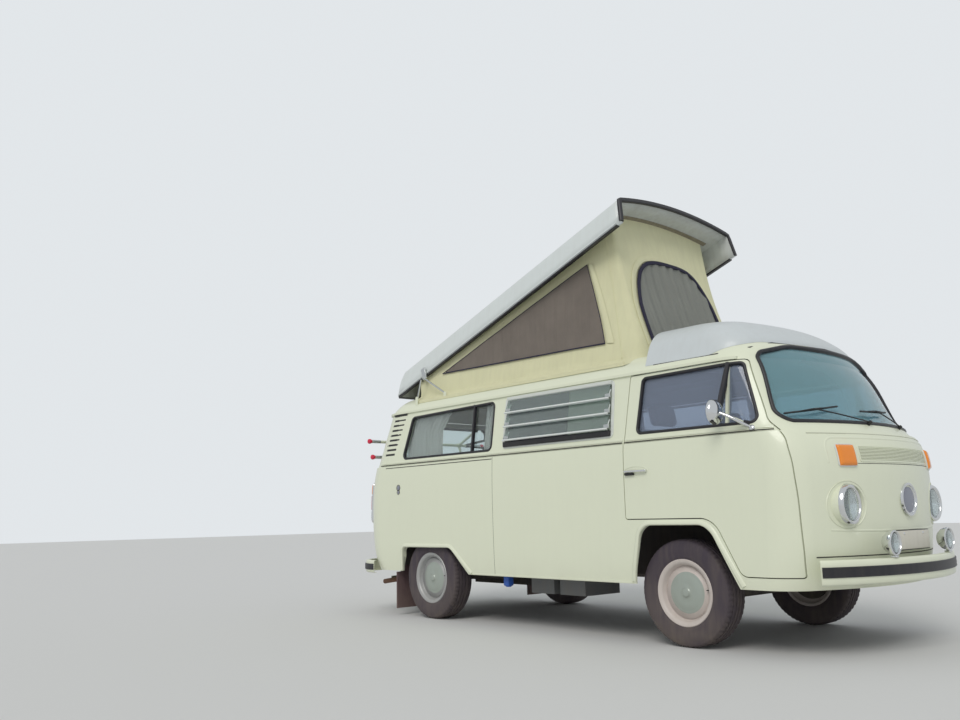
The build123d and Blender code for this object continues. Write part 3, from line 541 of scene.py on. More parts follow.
def rounded_block(name, low, high, round_mm, material, body="van_body", slot=None, steps=3):
    """A block with rounded edges, from two corners in metres."""
    shape = bmesh.new()
    bmesh.ops.create_cube(shape, size=1)
    middle, span = (low + high) / 2, high - low
    for vertex in shape.verts:
        vertex.co = Vector([vertex.co[i] * abs(span[i]) + middle[i] for i in range(3)])
    bmesh.ops.bevel(shape, geom=shape.edges[:], offset=round_mm * MM, segments=steps, affect="EDGES",
                    profile=0.5)
    mesh = bpy.data.meshes.new(name)
    shape.to_mesh(mesh)
    shape.free()
    piece = bpy.data.objects.new(name, mesh)
    scene.collection.objects.link(piece)
    return fasten(piece, material, body, slot)


def bar(name, points, radius_mm, material, body="van_body", slot=None):
    """A round bar along points, as a bevelled curve turned into a mesh."""
    curve = bpy.data.curves.new(name, "CURVE")
    curve.dimensions = "3D"
    curve.bevel_depth = radius_mm * MM
    curve.bevel_resolution = 3
    curve.use_fill_caps = True
    spline = curve.splines.new("NURBS" if len(points) > 2 else "POLY")
    spline.points.add(len(points) - 1)
    for entry_point, place in zip(spline.points, points):
        entry_point.co = (*place, 1)
    if spline.type == "NURBS":
        spline.order_u = 3
        spline.use_endpoint_u = True
        spline.resolution_u = 6
    maker = bpy.data.objects.new(name + "_line", curve)
    mesh = bpy.data.meshes.new_from_object(maker)
    mesh.name = name
    bpy.data.objects.remove(maker)
    bpy.data.curves.remove(curve)
    piece = bpy.data.objects.new(name, mesh)
    scene.collection.objects.link(piece)
    return fasten(piece, material, body, slot)


def other_side(piece, name, body):
    """The mirrored twin of a piece, on the van's left."""
    mesh = piece.data.copy()
    mesh.name = name
    mesh.transform(Matrix.Diagonal((1, -1, 1, 1)))
    mesh.flip_normals()
    twin = bpy.data.objects.new(name, mesh)
    scene.collection.objects.link(twin)
    return fasten(twin, piece.data.materials[0], body, piece.get("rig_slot"))


# %% [markdown]
# ## Finding the panels
# Seals, mouldings, seams and handles lie on curved panels. Their lines are drawn in a side or front view and
# dropped onto the solids with rays. Beside a window or a shut line a single ray can fall into the gap, so
# five rays are cast around each place, and only those that meet the outer skin count.

# %% Rays onto the panels
SKIN = ["nose", "side_right", "side_left", "sliding_door", "rear_frame", "roof", "tailgate", "engine_lid",
        "cab_door_right", "cab_door_left"]
skin_points, skin_faces = [], []
for name in SKIN:
    start = len(skin_points)
    skin_points += [v.co.copy() for v in nodes[name].data.vertices]
    skin_faces += [tuple(start + i for i in f.vertices) for f in nodes[name].data.polygons]
skin = BVHTree.FromPolygons(skin_points, skin_faces)
REACH_MM = 9
SAME_SKIN_MM = 8


def drop(origin, direction, spread):
    """The outermost skin point and its normal near a ray, from five rays."""
    hits = []
    for step in [Vector()] + [s * a * REACH_MM * MM for a in spread for s in (-1, 1)]:
        place, normal, _, _ = skin.ray_cast(origin + step, direction)
        if place is not None:
            hits.append(((place - step - origin).dot(direction), normal))
    if not hits:
        return None
    nearest = min(run for run, _ in hits)
    kept = [(run, n) for run, n in hits if run < nearest + SAME_SKIN_MM * MM]
    depth = sum(run for run, _ in kept) / len(kept)
    normal = sum((n if n.dot(direction) < 0 else -n for _, n in kept), Vector()).normalized()
    return origin + direction * depth, normal


def on_side(x, z, side=-1):
    """A side-view point, in millimetres, on the right or left panels."""
    return drop(at(x, side * 1300, z), Vector((0, -side, 0)), (Vector((1, 0, 0)), Vector((0, 0, 1))))


def on_nose(y, z):
    """A front-view point on the nose."""
    return drop(at(1600, y, z), Vector((-1, 0, 0)), (Vector((0, 1, 0)), Vector((0, 0, 1))))


def on_tail(y, z):
    """A rear-view point on the tail."""
    return drop(at(-3900, y, z), Vector((1, 0, 0)), (Vector((0, 1, 0)), Vector((0, 0, 1))))


def rounded_outline(corners, step=25, closed=True):
    """Points along an outline of (across, height, radius) corners, with round corners."""
    count = len(corners)
    runs = []
    for i, (a, z, r) in enumerate(corners):
        here = Vector((a, z))
        if not closed and i in (0, count - 1):
            runs.append([here])
            continue
        before = Vector(corners[i - 1][:2]) - here
        after = Vector(corners[(i + 1) % count][:2]) - here
        angle = before.angle(after)
        r = min(r, 0.98 * min(before.length, after.length) / 2 * sin(angle / 2) / cos(angle / 2))
        back = r / (sin(angle / 2) / cos(angle / 2))
        start, end = here + before.normalized() * back, here + after.normalized() * back
        centre = here + (before.normalized() + after.normalized()).normalized() * (r / sin(angle / 2))
        a0, a1 = start - centre, end - centre
        turn = a0.angle_signed(a1) if a0.length * a1.length else 0
        pieces = max(2, int(abs(turn) * r / 12), int(abs(degrees(turn)) / 12))
        for k in range(pieces + 1):
            angle_k = -turn * k / pieces
            c, s = cos(angle_k), sin(angle_k)
            runs.append([centre + Vector((a0.x * c - a0.y * s, a0.x * s + a0.y * c))])
    dots = [p for run in runs for p in run]
    even = []
    line = dots + dots[:1] if closed else dots
    for a, b in zip(line, line[1:]):
        even.append(a)
        pieces = int((b - a).length / step)
        even += [a.lerp(b, k / (pieces + 1)) for k in range(1, pieces + 1)]
    if not closed:
        even.append(dots[-1])
    return [tuple(p) for p in even]


def laid(outline, finder):
    """An outline dropped onto the panels: its points and their normals."""
    found = [finder(a, z) for a, z in outline]
    return [f[0] for f in found if f], [f[1] for f in found if f]


print("skin faces", len(skin_faces))

# %% [markdown]
# ## Panels and other solids that keep their shape
# The pressed panels, glass, tray, furniture and running gear are right as solids, and only take a finish.
# Each solid gets one material over all its slots.

# %% Finishes on the solids
KEPT = {
    body_paint: ["nose", "side_right", "side_left", "sliding_door", "rear_frame", "roof", "cab_door_right",
                 "cab_door_left", "tailgate", "engine_lid"],
    tray_white: ["roof_rack"],
    window_glass: ["side_glass", "tailgate_glass"],
    cab_glass_painted_reflection: ["door_glass_right", "door_glass_left"],
    screen_glass_painted_reflection: ["windscreen"],
    underseal: ["floor"],
    dark_metal: ["engine", "front_beam", "rear_axle", "knuckle_right", "knuckle_left"],
    grey_tank: ["underfloor_tanks"],
    flap_rubber: ["mud_flaps"],
    black_trim: ["dashboard"],
    laminate: ["furniture"],
    aluminium: ["roof_arms", "rear_arms"],
    wheel_black: ["steering_wheel"],
}
for material, names in KEPT.items():
    for name in names:
        slots = nodes[name].data.materials
        slots.clear()
        slots.append(material)
print("kept solids", sum(len(n) for n in KEPT.values()))

# %% [markdown]
# ## Window seals
# Each pane sits in a black rubber seal that grips the edge of the panel. The seal is a half-round band along
# the window's outline, which the rays lay onto the curved panel. The rear side window and the cab door window
# also have an upright bar.

# %% Seal sections and outlines
SEAL_START, SEAL_IN = 7, 14
SEAL = [(-9, -16), (-9, 0), (-6, 4), (0, 6), (6, 4), (9, 0), (9, -16)]
SCREEN_SEAL = [(-12, -22), (-12, 1), (-8, 6), (0, 8), (8, 6), (12, 1), (12, -22)]
DOOR_WINDOW = [(-262, 1266, 38), (-226, 1628, 38), (488, 1636, 38), (608, 1263, 38)]
REAR_WINDOW = [(-2752, 1259, 45), (-2660, 1613, 45), (-1619, 1632, 45), (-1624, 1257, 45)]
JALOUSIE = [(-1500, 1266, 30), (-1496, 1640, 30), (-452, 1640, 30), (-446, 1266, 30)]
SCREEN = [(-768, 1266, 62), (768, 1266, 62), (668, 1695, 90), (400, 1752, 600), (-400, 1752, 600),
          (-668, 1695, 90)]
TAIL_WINDOW = [(-500, 1265, 70), (500, 1265, 70), (470, 1600, 70), (-470, 1600, 70)]


def grown(corners, by):
    """An outline of rounded corners pushed out by a distance, seen from its middle."""
    count = len(corners)
    area = sum(corners[k - 1][0] * corners[k][1] - corners[k][0] * corners[k - 1][1] for k in range(count))
    out = []
    for i, (a, z, r) in enumerate(corners):
        here = Vector((a, z))
        before = (here - Vector(corners[i - 1][:2])).normalized()
        after = (Vector(corners[(i + 1) % count][:2]) - here).normalized()
        normals = Vector((before.y, -before.x)) + Vector((after.y, -after.x))
        shift = normals / (1 + before.dot(after)) * (by if area > 0 else -by)
        out.append((a + shift.x, z + shift.y, r + by))
    return out


def drawn_in(path, outward, by):
    """A closed path moved towards its own middle by a distance, along the panel."""
    middle = sum(path, Vector()) / len(path)
    moved = []
    for i, (place, out) in enumerate(zip(path, outward)):
        across = (path[(i + 1) % len(path)] - path[i - 1]).cross(out).normalized()
        inward = across if across.dot(middle - place) > 0 else -across
        moved.append(place + inward * by * MM)
    return moved


def window_seal(name, corners, finder, section, body="van_body"):
    """A seal around a window hole, on its edge."""
    path, outward = laid(rounded_outline(grown(corners, SEAL_START)), finder)
    return sweep(name, drawn_in(path, outward, SEAL_IN), outward, section, seal_rubber, body, closed=True,
                 slot="trim")


# %% Seals of all the windows
for side, s in SIDES:
    window_seal(f"door_window_seal_{side}", DOOR_WINDOW, lambda x, z, s=s: on_side(x, z, s), SEAL,
                f"cab_door_{side}")
    window_seal(f"rear_window_seal_{side}", REAR_WINDOW, lambda x, z, s=s: on_side(x, z, s), SEAL)
window_seal("sliding_window_seal", JALOUSIE, lambda x, z: on_side(x, z, 1), SEAL)
window_seal("windscreen_seal", SCREEN, on_nose, SCREEN_SEAL)
window_seal("tail_window_seal", TAIL_WINDOW, on_tail, SEAL, "tailgate")

# %% Bars of the quarter window and of the sliding rear pane
BAR = [(-8, -20), (-8, 4), (-4, 7), (4, 7), (8, 4), (8, -20)]
QUARTER_BAR = [(-12, -34), (-12, 3), (-7, 7), (7, 7), (12, 3), (12, -34)]
QUARTER_X = 400
REAR_BAR_X = -1853
UPRIGHT_STEPS = [k / 6 for k in range(7)]


def upright(name, x, low, high, side, section, material, body="van_body", lean=0):
    """A bar up a side window, from its lower edge to its upper one."""
    a, na = on_side(x, low, side)
    b, nb = on_side(x + lean, high, side)
    return sweep(name, [a.lerp(b, t) for t in UPRIGHT_STEPS],
                 [na.lerp(nb, t) for t in UPRIGHT_STEPS], section, material, body)


for side, s in SIDES:
    upright(f"quarter_bar_{side}", QUARTER_X, 1266, 1636, s, QUARTER_BAR, seal_rubber, f"cab_door_{side}")
    upright(f"rear_pane_bar_{side}", REAR_BAR_X, 1260, 1629, s, BAR, seal_rubber, lean=-6)
print("pieces", len(made_pieces))

# %% [markdown]
# ## Mouldings, seams and shut lines
# A dark line runs along the belt below the windows. Panel joints show as fine dark lines, and the rear wheel
# openings end in a rolled lip. All are sweeps with a small section, dropped onto the panels.

# %% Line helper
LIP = [(-7, -4), (-6, 3), (0, 5), (6, 3), (7, -4)]
SEAM = [(-3, -4), (-3, 0.8), (3, 0.8), (3, -4)]
THIN_SEAM = [(-1.2, -4), (-1.2, 0.4), (1.2, 0.4), (1.2, -4)]


def side_line(name, corners, side, section, material, body="van_body", step=40):
    """A sweep along an open line of side-view corners."""
    path, outward = laid(rounded_outline(corners, step, closed=False), lambda x, z: on_side(x, z, side))
    return sweep(name, path, outward, section, material, body)


# %% Belt line, rear arches and panel seams
seam_dark = finish("shut_line_shadow", srgb(58, 56, 50), 0.8, swing=0.1)
BELT_RUNS = {
    "side": [(-3040, 1222, 1), (-362, 1222, 1)],
    "door": [(-344, 1222, 1), (690, 1222, 1)],
}
ARCH_REAR = [(-2743, 366, 1), (-2738, 563, 48), (-2104, 565, 110), (-1862, 366, 1)]
ARCH_LIP = [(-17, -4), (-13, 3), (-3, 8), (8, 9), (14, 5), (16, -6)]
for side, s in SIDES:
    side_line(f"belt_line_{side}", BELT_RUNS["side"], s, SEAM, seam_dark)
    side_line(f"belt_line_door_{side}", BELT_RUNS["door"], s, SEAM, seam_dark, f"cab_door_{side}")
    side_line(f"rear_arch_lip_{side}", ARCH_REAR, s, ARCH_LIP, body_paint, step=20)
    side_line(f"panel_seam_{side}",
              [(-1599, 1210, 1), (-1599, 372, 1)] if s < 0 else [(-2000, 1210, 1), (-2000, 560, 1)], s,
              THIN_SEAM, seam_dark)
print("pieces", len(made_pieces))

# %% [markdown]
# ## Wheels
# The tyre and the steel wheel are turned forms. The tyre gets a rounded carcass, grooves around the tread and
# cross cuts on its shoulders. The wheel's disc is a ring of bridges with gaps between, because the gaps show
# dark against the drum behind it. A wide painted cap with a raised boss covers the middle.

# %% Wheel sizes
TYRE_R, RIM_R, HUB_Z = 313, 178, 313
TYRE_STEPS = 180
WHEELS = {"front_right": (0, -697.5), "front_left": (0, 697.5), "rear_right": (-2400, -727.5),
          "rear_left": (-2400, 727.5),}


def tyre_profile():
    """Half of the tyre's section, from the bead out to the middle of the tread, as (radius, run)."""
    side_wall = [(RIM_R - 1, 70), (RIM_R + 6, 76), (RIM_R + 14, 79), (RIM_R + 30, 86), (RIM_R + 34, 88),
                 (RIM_R + 38, 88), (RIM_R + 58, 92), (RIM_R + 78, 92.5), (RIM_R + 98, 90), (RIM_R + 114, 85),
                 (RIM_R + 122, 82), (RIM_R + 128, 76), (TYRE_R - 3, 68)]
    tread = [(TYRE_R - 1.2, 60), (TYRE_R - 0.8, 49), (TYRE_R - 8, 47), (TYRE_R - 8, 42), (TYRE_R - 0.5, 40),
             (TYRE_R - 0.3, 20), (TYRE_R - 8, 18), (TYRE_R - 8, 12), (TYRE_R, 10)]
    return side_wall + tread


def make_tyre(name, centre, body):
    """A tyre whose shoulders are cut across in a repeating pattern."""
    half = tyre_profile()
    profile = half + [(r, -run) for r, run in reversed(half)]
    points = []
    for i in range(TYRE_STEPS):
        angle = 2 * pi * i / TYRE_STEPS
        cut = 5 if i % 3 == 0 else 0
        for r, run in profile:
            on_shoulder = 46 < abs(run) < 80 and r > RIM_R + 120
            across = 3 if 10 <= abs(run) <= 40 and i % 6 == 0 and r > TYRE_R - 2 else 0
            r_here = r - (cut if on_shoulder else 0) - across
            points.append(centre + Vector((cos(angle) * r_here * MM, -run * MM, sin(angle) * r_here * MM)))
    faces = grid_faces(TYRE_STEPS, len(profile), wrap_rows=True, wrap_columns=True)
    return new_piece(name, points, faces, tyre_rubber, body, "tyre")


# %% Steel wheel
CAP_R = 126
BRIDGES = 20


def make_rim(name, centre, out, body, material):
    """The rim: flange, bead seat and well, turned about the axle."""
    profile = [(RIM_R - 30, 52), (RIM_R - 27, 40), (RIM_R - 17, 52), (RIM_R - 13, 66), (RIM_R - 9, 75),
               (RIM_R + 4, 82), (RIM_R + 14, 84), (RIM_R + 18, 80), (RIM_R + 3, 72), (RIM_R - 4, 66),
               (RIM_R - 4, -66), (RIM_R + 3, -72), (RIM_R + 10, -76), (RIM_R + 4, -80), (RIM_R - 9, -74),
               (RIM_R - 14, -50), (RIM_R - 30, -30)]
    return lathe(name, profile, centre, (0, out, 0), material, body, steps=96, slot="wheel_paint")


def make_disc(name, centre, out, body, material):
    """The disc: a dished ring, and bridges that leave the gaps open."""
    points, faces = [], []
    rows = [(RIM_R - 24, 46), (RIM_R - 27, 38), (154, 36), (150, 38)]
    inner = [(132, 46), (124, 44), (112, 38), (90, 30)]
    steps = BRIDGES * 4
    for i in range(steps):
        angle = 2 * pi * i / steps
        for r, run in rows + inner:
            points.append(centre + Vector((cos(angle) * r * MM, out * run * MM, sin(angle) * r * MM)))
    width = len(rows) + len(inner)
    for i in range(steps):
        j = (i + 1) % steps
        for c in range(width - 1):
            if c == len(rows) - 1 and i % 4 in (1, 2):
                continue
            faces.append((i * width + c, i * width + c + 1, j * width + c + 1, j * width + c))
    piece = new_piece(name, points, faces, material, body, "wheel_paint")
    thick = piece.modifiers.new("sheet", "SOLIDIFY")
    thick.thickness = 4 * MM
    thick.offset = -1
    return apply_modifiers(piece)


def apply_modifiers(piece):
    """Turn a piece's modifiers into its mesh."""
    shown = piece.evaluated_get(bpy.context.evaluated_depsgraph_get())
    mesh = bpy.data.meshes.new_from_object(shown)
    piece.modifiers.clear()
    piece.data = mesh
    return piece


def make_cap(name, centre, out, body):
    """The wide cap with its raised rim and centre boss."""
    profile = [(0, 74), (14, 74), (22, 72), (26, 66), (34, 62), (60, 62.5), (84, 61), (100, 57), (112, 53),
               (119, 53), (CAP_R, 48), (CAP_R + 1, 42), (CAP_R - 5, 38), (0, 36)]
    return lathe(name, profile, centre, (0, out, 0), cap_paint, body, steps=72, slot="wheel_paint")


def make_drum(name, centre, out, body):
    """The dark brake drum behind the disc."""
    profile = [(0, 26), (60, 27), (134, 27), (140, 22), (140, -38), (0, -40)]
    return lathe(name, profile, centre, (0, out, 0), dark_metal, body, steps=48)


# %% Four wheels
VALVE, VALVE_UP, VALVE_R = ((0.155, 0.045), (0.151, 0.072)), 0.02, 3.5
for place, (x, y) in WHEELS.items():
    body = f"wheel_{place}"
    out = 1 if y > 0 else -1
    centre = at(x, y, HUB_Z)
    rim_material = front_rim if place.startswith("front") else rear_rim
    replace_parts(make_tyre(f"road_tyre_{place}", centre, body), f"tyre_{place}")
    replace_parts(make_rim(f"rim_{place}", centre, out, body, rim_material), f"wheel_{place}")
    make_disc(f"disc_{place}", centre, out, body, rim_material)
    make_cap(f"wheel_cap_{place}", centre, out, body)
    make_drum(f"drum_{place}", centre, out, body)
    valve = [centre + Vector((x, out * y, VALVE_UP)) for x, y in VALVE]
    bar(f"valve_{place}", valve, VALVE_R, black_trim, body)
print("pieces", len(made_pieces))

# %% [markdown]
# ## Bumpers
# Each bumper is one pressed bar that follows the van's rounded corners, with rolled edges and a black rubber
# strip. Its plan is the nose's own plan drawn larger: two corner arcs joined by one wide arc, so the bar is
# swept along points worked out from those radii. Stays run back to the body, and a blank plate stands over
# the front bar.

# %% Bumper plan
NOSE_R, CORNER_R, TAIL_R = 1600, 230, 290
BUMPER_HALF, FRONT_REACH, BUMPER_REAR = 866, 1115, -3440


def nose_plan(nose, half, end_x):
    """Half of a level nose outline, from its middle round to end_x: (x, y) and the outward direction."""
    centre = nose - NOSE_R
    run = sqrt((NOSE_R - CORNER_R) ** 2 - (half - CORNER_R) ** 2)
    join = atan2(half - CORNER_R, run)
    last = acos(min(1, max(0, (end_x - centre - run) / CORNER_R)))
    dots = [(centre + NOSE_R * cos(join * k / 16), NOSE_R * sin(join * k / 16),
             join * k / 16) for k in range(17)]
    for k in range(1, 13):
        angle = join + (last - join) * k / 12
        dots.append((centre + run + CORNER_R * cos(angle), half - CORNER_R + CORNER_R * sin(angle), angle))
    return dots


def tail_plan(rear, half, end_x):
    """Half of a level tail outline: a flat back, round corners and a short return along the side."""
    dots = [(rear, (half - TAIL_R) * k / 6, pi) for k in range(7)]
    for k in range(1, 13):
        angle = pi - (pi / 2) * k / 12
        dots.append((rear + TAIL_R + TAIL_R * cos(angle), half - TAIL_R + TAIL_R * sin(angle), angle))
    dots.append((end_x, half, pi / 2))
    return dots


def level_sweep(name, dots, z, section, material, slot=None, body="van_body"):
    """A bar swept along a half plan and its mirror image, from the right end to the left."""
    right = [(x, -y, -angle) for x, y, angle in reversed(dots[1:])]
    whole = right + dots
    path = [at(x, y, z) for x, y, _ in whole]
    outward = [Vector((cos(angle), sin(angle), 0)) for *_, angle in whole]
    return sweep(name, path, outward, section, material, body, slot=slot)


def pressed_bar(height):
    """The bar's section: flat face, rolled edges, open at the back."""
    h = height / 2
    return [(-h, -27), (-h, -10), (-h + 3, -4), (-h + 10, 0), (-h + 26, 1), (h - 26, 1), (h - 10, 0),
            (h - 3, -4), (h, -10), (h, -27), (h - 3, -27), (h - 4, -10), (h - 10, -4), (-h + 10, -4),
            (-h + 4, -10), (-h + 3, -27)]


STRIP = [(-27, -1), (-27, 5), (-23, 8), (-12, 6), (0, 8), (12, 6), (23, 8), (27, 5), (27, -1)]
REAR_STRIP = [(-25, -1), (-25, 5), (-21, 8), (21, 8), (25, 5), (25, -1)]
front_bar = level_sweep("front_bumper_bar", nose_plan(FRONT_REACH, BUMPER_HALF, 885), 455, pressed_bar(130),
                        body_paint, "cream_paint")
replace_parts(front_bar, "bumpers")
level_sweep("front_bumper_strip", nose_plan(FRONT_REACH + 1, BUMPER_HALF + 1, 890), 458, STRIP, seal_rubber,
            "trim")
level_sweep("rear_bumper_bar", tail_plan(BUMPER_REAR, BUMPER_HALF, -3119), 382, pressed_bar(104), body_paint,
            "cream_paint")
level_sweep("rear_bumper_strip", tail_plan(BUMPER_REAR - 1, BUMPER_HALF + 1, -3123), 380, REAR_STRIP,
            seal_rubber, "trim")
for side, y in (("right", -450), ("left", 450)):
    rounded_block(f"front_stay_{side}", at(905, y - 30, 415), at(1034, y + 30, 495), 5, dark_metal)
    rounded_block(f"rear_stay_{side}", at(-3415, y - 30, 370), at(-3205, y + 30, 424), 5, dark_metal)

# %% Blank plate on the nose
plate_paint = finish("blank_plate", srgb(212, 208, 196), 0.4, film=0.10, swing=0.05, grain=(80.0, 0.0001))
rounded_block("front_plate", at(1020, -200, 553), at(1027, 200, 655), 3, plate_paint)
rounded_block("front_plate_rim", at(1017, -205, 548), at(1023, 205, 660), 3, black_trim)
for side, y in (("right", -120), ("left", 120)):
    lathe(f"plate_screw_{side}", [(0, 4), (6, 3), (8, 0), (0, -2)], at(1027, y, 640),
          AHEAD, chrome, steps=16)
    rounded_block(f"plate_bracket_{side}", at(985, y - 13, 582),
                  at(1019, y + 13, 618), 3, dark_metal)

# %% [markdown]
# ## Lamps
# A headlamp is a painted lip on the nose, a chrome ring on a painted barrel, a deep polished bowl with its
# bulb, and a domed lens with fine grain. Turning gives all but the lip. That one follows the curved nose,
# so it is a ring of quads with its own depth at every angle.

# %% Headlamps
LAMP_Y, LAMP_Z = 524, 806
RING_X = 935
RING = [(86, 936), (89, 944), (96, 948), (105, 946), (111, 937), (113, 925), (109, 922), (92, 930)]
BARREL = [(109, 924), (112, 921), (113, 862), (104, 862)]


def lamp_fairing(name, y, z, r_in, r_out):
    """A small rolled lip of paint around the lamp, on the nose panel."""
    steps = 72
    points = []
    for i in range(steps):
        c, s = cos(2 * pi * i / steps), sin(2 * pi * i / steps)
        place, normal = on_nose(y + (r_out + 3) * c, z + (r_out + 3) * s)
        inward = (at(0, y, z) - place)
        inward = (inward - normal * inward.dot(normal)).normalized()
        crest = place + inward * (r_out - r_in) * 0.6 * MM
        points += [place - normal * 1.5 * MM, crest + normal * 4 * MM, crest + inward * 5 * MM,
                   crest + inward * 6 * MM - normal * 14 * MM]
    return new_piece(name, points, grid_faces(steps, 4, wrap_rows=True), body_paint, slot="cream_paint")


def head_lamp(side, y):
    """One headlamp, pointing straight ahead."""
    lamp_fairing(f"lamp_fairing_{side}", y, LAMP_Z, 113.5, 127)
    centre = at(0, y, LAMP_Z)
    ring = lathe(f"lamp_ring_{side}", RING, centre, AHEAD, chrome, steps=96, slot="bright_metal")
    lathe(f"lamp_barrel_{side}", BARREL, centre, AHEAD, body_paint, steps=96, slot="cream_paint")
    bowl = [(0, 872), (20, 873), (50, 886), (76, 908), (90, RING_X - 4), (92, RING_X - 4), (78, 904),
            (50, 882), (20, 869), (0, 868)]
    lathe(f"lamp_bowl_{side}", bowl, centre, AHEAD, chrome, steps=72)
    lathe(f"lamp_bulb_{side}", [(0, 908), (9, 905), (11, 894), (9, 880), (0, 878)], centre, AHEAD,
          plate_paint, steps=24)
    dome = [(0, 957), (30, 955.5), (60, 950), (80, 943), (91, RING_X), (91, RING_X - 4), (80, 939), (60, 946),
            (30, 951.5), (0, 953)]
    lathe(f"lamp_lens_{side}", dome, centre, AHEAD, lens_glass, steps=72)
    return ring


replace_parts(head_lamp("right", -LAMP_Y), "front_lamps")
head_lamp("left", LAMP_Y)

# %% Spot lamps on the bumper
SPOT_Z = 597
for side, y in (("right", -350), ("left", 350)):
    centre = at(0, y, SPOT_Z)
    bowl = [(0, 1008), (18, 1010), (40, 1020), (58, 1040), (65, 1060), (66, 1074), (61, 1077), (58, 1068),
            (50, 1045), (30, 1024), (0, 1016)]
    lathe(f"spot_shell_{side}", bowl, centre, AHEAD, chrome, steps=56, slot="bright_metal")
    lathe(f"spot_rim_{side}", [(57, 1074), (59, 1081), (64, 1082), (68, 1077), (67, 1068), (60, 1068)],
          centre, AHEAD, chrome, steps=56)
    lathe(f"spot_lens_{side}",
          [(0, 1086), (25, 1085), (45, 1081), (58, 1075), (58, 1071), (45, 1077), (25, 1081), (0, 1082)],
          centre, AHEAD, lens_glass, steps=48)
    bar(f"spot_post_{side}", [at(1064, y, 521), at(1064, y, 545)], 9, chrome)
    rounded_block(f"spot_foot_{side}", at(1048, y - 17, 520.5), at(1082, y + 17, 530), 3, chrome)

# %% Plain disc in the middle of the nose
DISC_Z = 829
found = on_nose(0, DISC_Z)
disc_x = (found[0].x - FRONT_AXLE_X) / MM
centre = at(disc_x - 1, 0, DISC_Z)
lathe("nose_disc_ring", [(78, 3), (80, 12), (88, 15), (94, 12), (96, 2), (90, -4), (80, -4)], centre, AHEAD,
      chrome, steps=80, slot="bright_metal")
# The disc's face is blue-grey: painted shade on its aluminium.
lathe("nose_disc_face", [(0, 9), (30, 8.5), (60, 6), (80, 2), (80, -4), (0, -4)], centre, AHEAD, shade_blue_grey,
      steps=64)


# %% Lens patches on curved panels
def patch(name, finder, across, heights, lift, material, body="van_body", slot=None, rim=6, cells=(14, 12)):
    """A lens that follows the panel: flat on top and rounded at its edge, where it meets the panel."""
    (a0, a1), (z0, z1) = across, heights
    points = []
    for i in range(cells[0] + 1):
        for j in range(cells[1] + 1):
            u, v = i / cells[0], j / cells[1]
            u, v = (1 - cos(pi * u)) / 2, (1 - cos(pi * v)) / 2
            place, normal = finder(a0 + (a1 - a0) * u, z0 + (z1 - z0) * v)
            edge = min(u * (a1 - a0), (1 - u) * (a1 - a0), v * (z1 - z0), (1 - v) * (z1 - z0))
            swell = sqrt(max(0.0, 1 - (1 - min(1.0, edge / rim)) ** 2))
            points.append(place + normal * (lift * swell - 1) * MM)
    return new_piece(name, points, grid_faces(cells[0] + 1, cells[1] + 1), material, body, slot)


INDICATOR_Z = (1013, 1129)
for side, s in SIDES:
    span = (450, 566) if s > 0 else (-566, -450)
    lens_piece = patch(f"indicator_{side}", on_nose, span, INDICATOR_Z, 22, lamp_orange, slot="lens", rim=16)
    if s < 0:
        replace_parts(lens_piece, "signal_lamps")
    frame_span = [(span[0], INDICATOR_Z[0], 14), (span[1], INDICATOR_Z[0], 14), (span[1], INDICATOR_Z[1], 14),
                  (span[0], INDICATOR_Z[1], 14)]
    path, outward = laid(rounded_outline(frame_span, 20), on_nose)
    sweep(f"indicator_frame_{side}", path, outward, [(-6, -2), (-6, 5), (0, 8), (6, 5), (6, -2)],
          painted_frame, closed=True)

# %% Tail lamps
TAIL_Y = (690, 770)
for side, s in SIDES:
    span = tuple(sorted(s * y for y in TAIL_Y))
    for part, low, high, material in (("indicator", 985, 1075, lamp_orange), ("brake", 850, 983, lamp_red),
                                      ("reverse", 760, 848, lens_glass)):
        patch(f"tail_{part}_{side}", on_tail, span, (low, high), 26, material, slot="lens", rim=10)
    frame_span = [(span[0] - 6, 752, 16), (span[1] + 6, 752, 16), (span[1] + 6, 1083, 16),
                  (span[0] - 6, 1083, 16)]
    path, outward = laid(rounded_outline(frame_span, 25), on_tail)
    sweep(f"tail_lamp_frame_{side}", path, outward, [(-7, -2), (-7, 8), (0, 14), (7, 8), (7, -2)], chrome,
          closed=True)

# %% [markdown]
# ## Nose details
# Between the indicators is the fresh-air grille, a pressed panel with fine slats. Two press lines frame it,
# and one more line runs across the nose below the headlamps. They are drawn in the front view.

# %% Fresh-air grille
# The grille patch is a greyer cream than the body: painted shade of its recess.
grille_painted_shade = finish("grille_recess_painted_shade", srgb(190, 192, 174), 0.6, swing=0.1)
GRILLE_HALF, GRILLE_Z = 408, (1046, 1119)
patch("grille_recess_painted_shade", on_nose, (-GRILLE_HALF, GRILLE_HALF), GRILLE_Z, 1.6, grille_painted_shade, rim=2,
      cells=(30, 4))
SLAT = [(-2.6, 0), (-2.0, 4.5), (1.6, 5.2), (2.6, 0)]
SLATS = 9
for k in range(SLATS):
    z = GRILLE_Z[0] + (GRILLE_Z[1] - GRILLE_Z[0]) * (k + 0.5) / SLATS
    path, outward = laid([(y, z) for y in range(-GRILLE_HALF, GRILLE_HALF + 1, 34)], on_nose)
    sweep(f"grille_slat_{k + 1}", path, outward, SLAT, body_paint)
GRILLE_FRAME = [(-GRILLE_HALF - 5, GRILLE_Z[0] - 5, 8), (GRILLE_HALF + 5, GRILLE_Z[0] - 5, 8),
                (GRILLE_HALF + 5, GRILLE_Z[1] + 5, 8), (-GRILLE_HALF - 5, GRILLE_Z[1] + 5, 8)]
path, outward = laid(rounded_outline(GRILLE_FRAME, 34), on_nose)
sweep("grille_frame", path, outward, [(-5, -2), (-4, 4), (4, 4), (5, -2)], body_paint, closed=True)

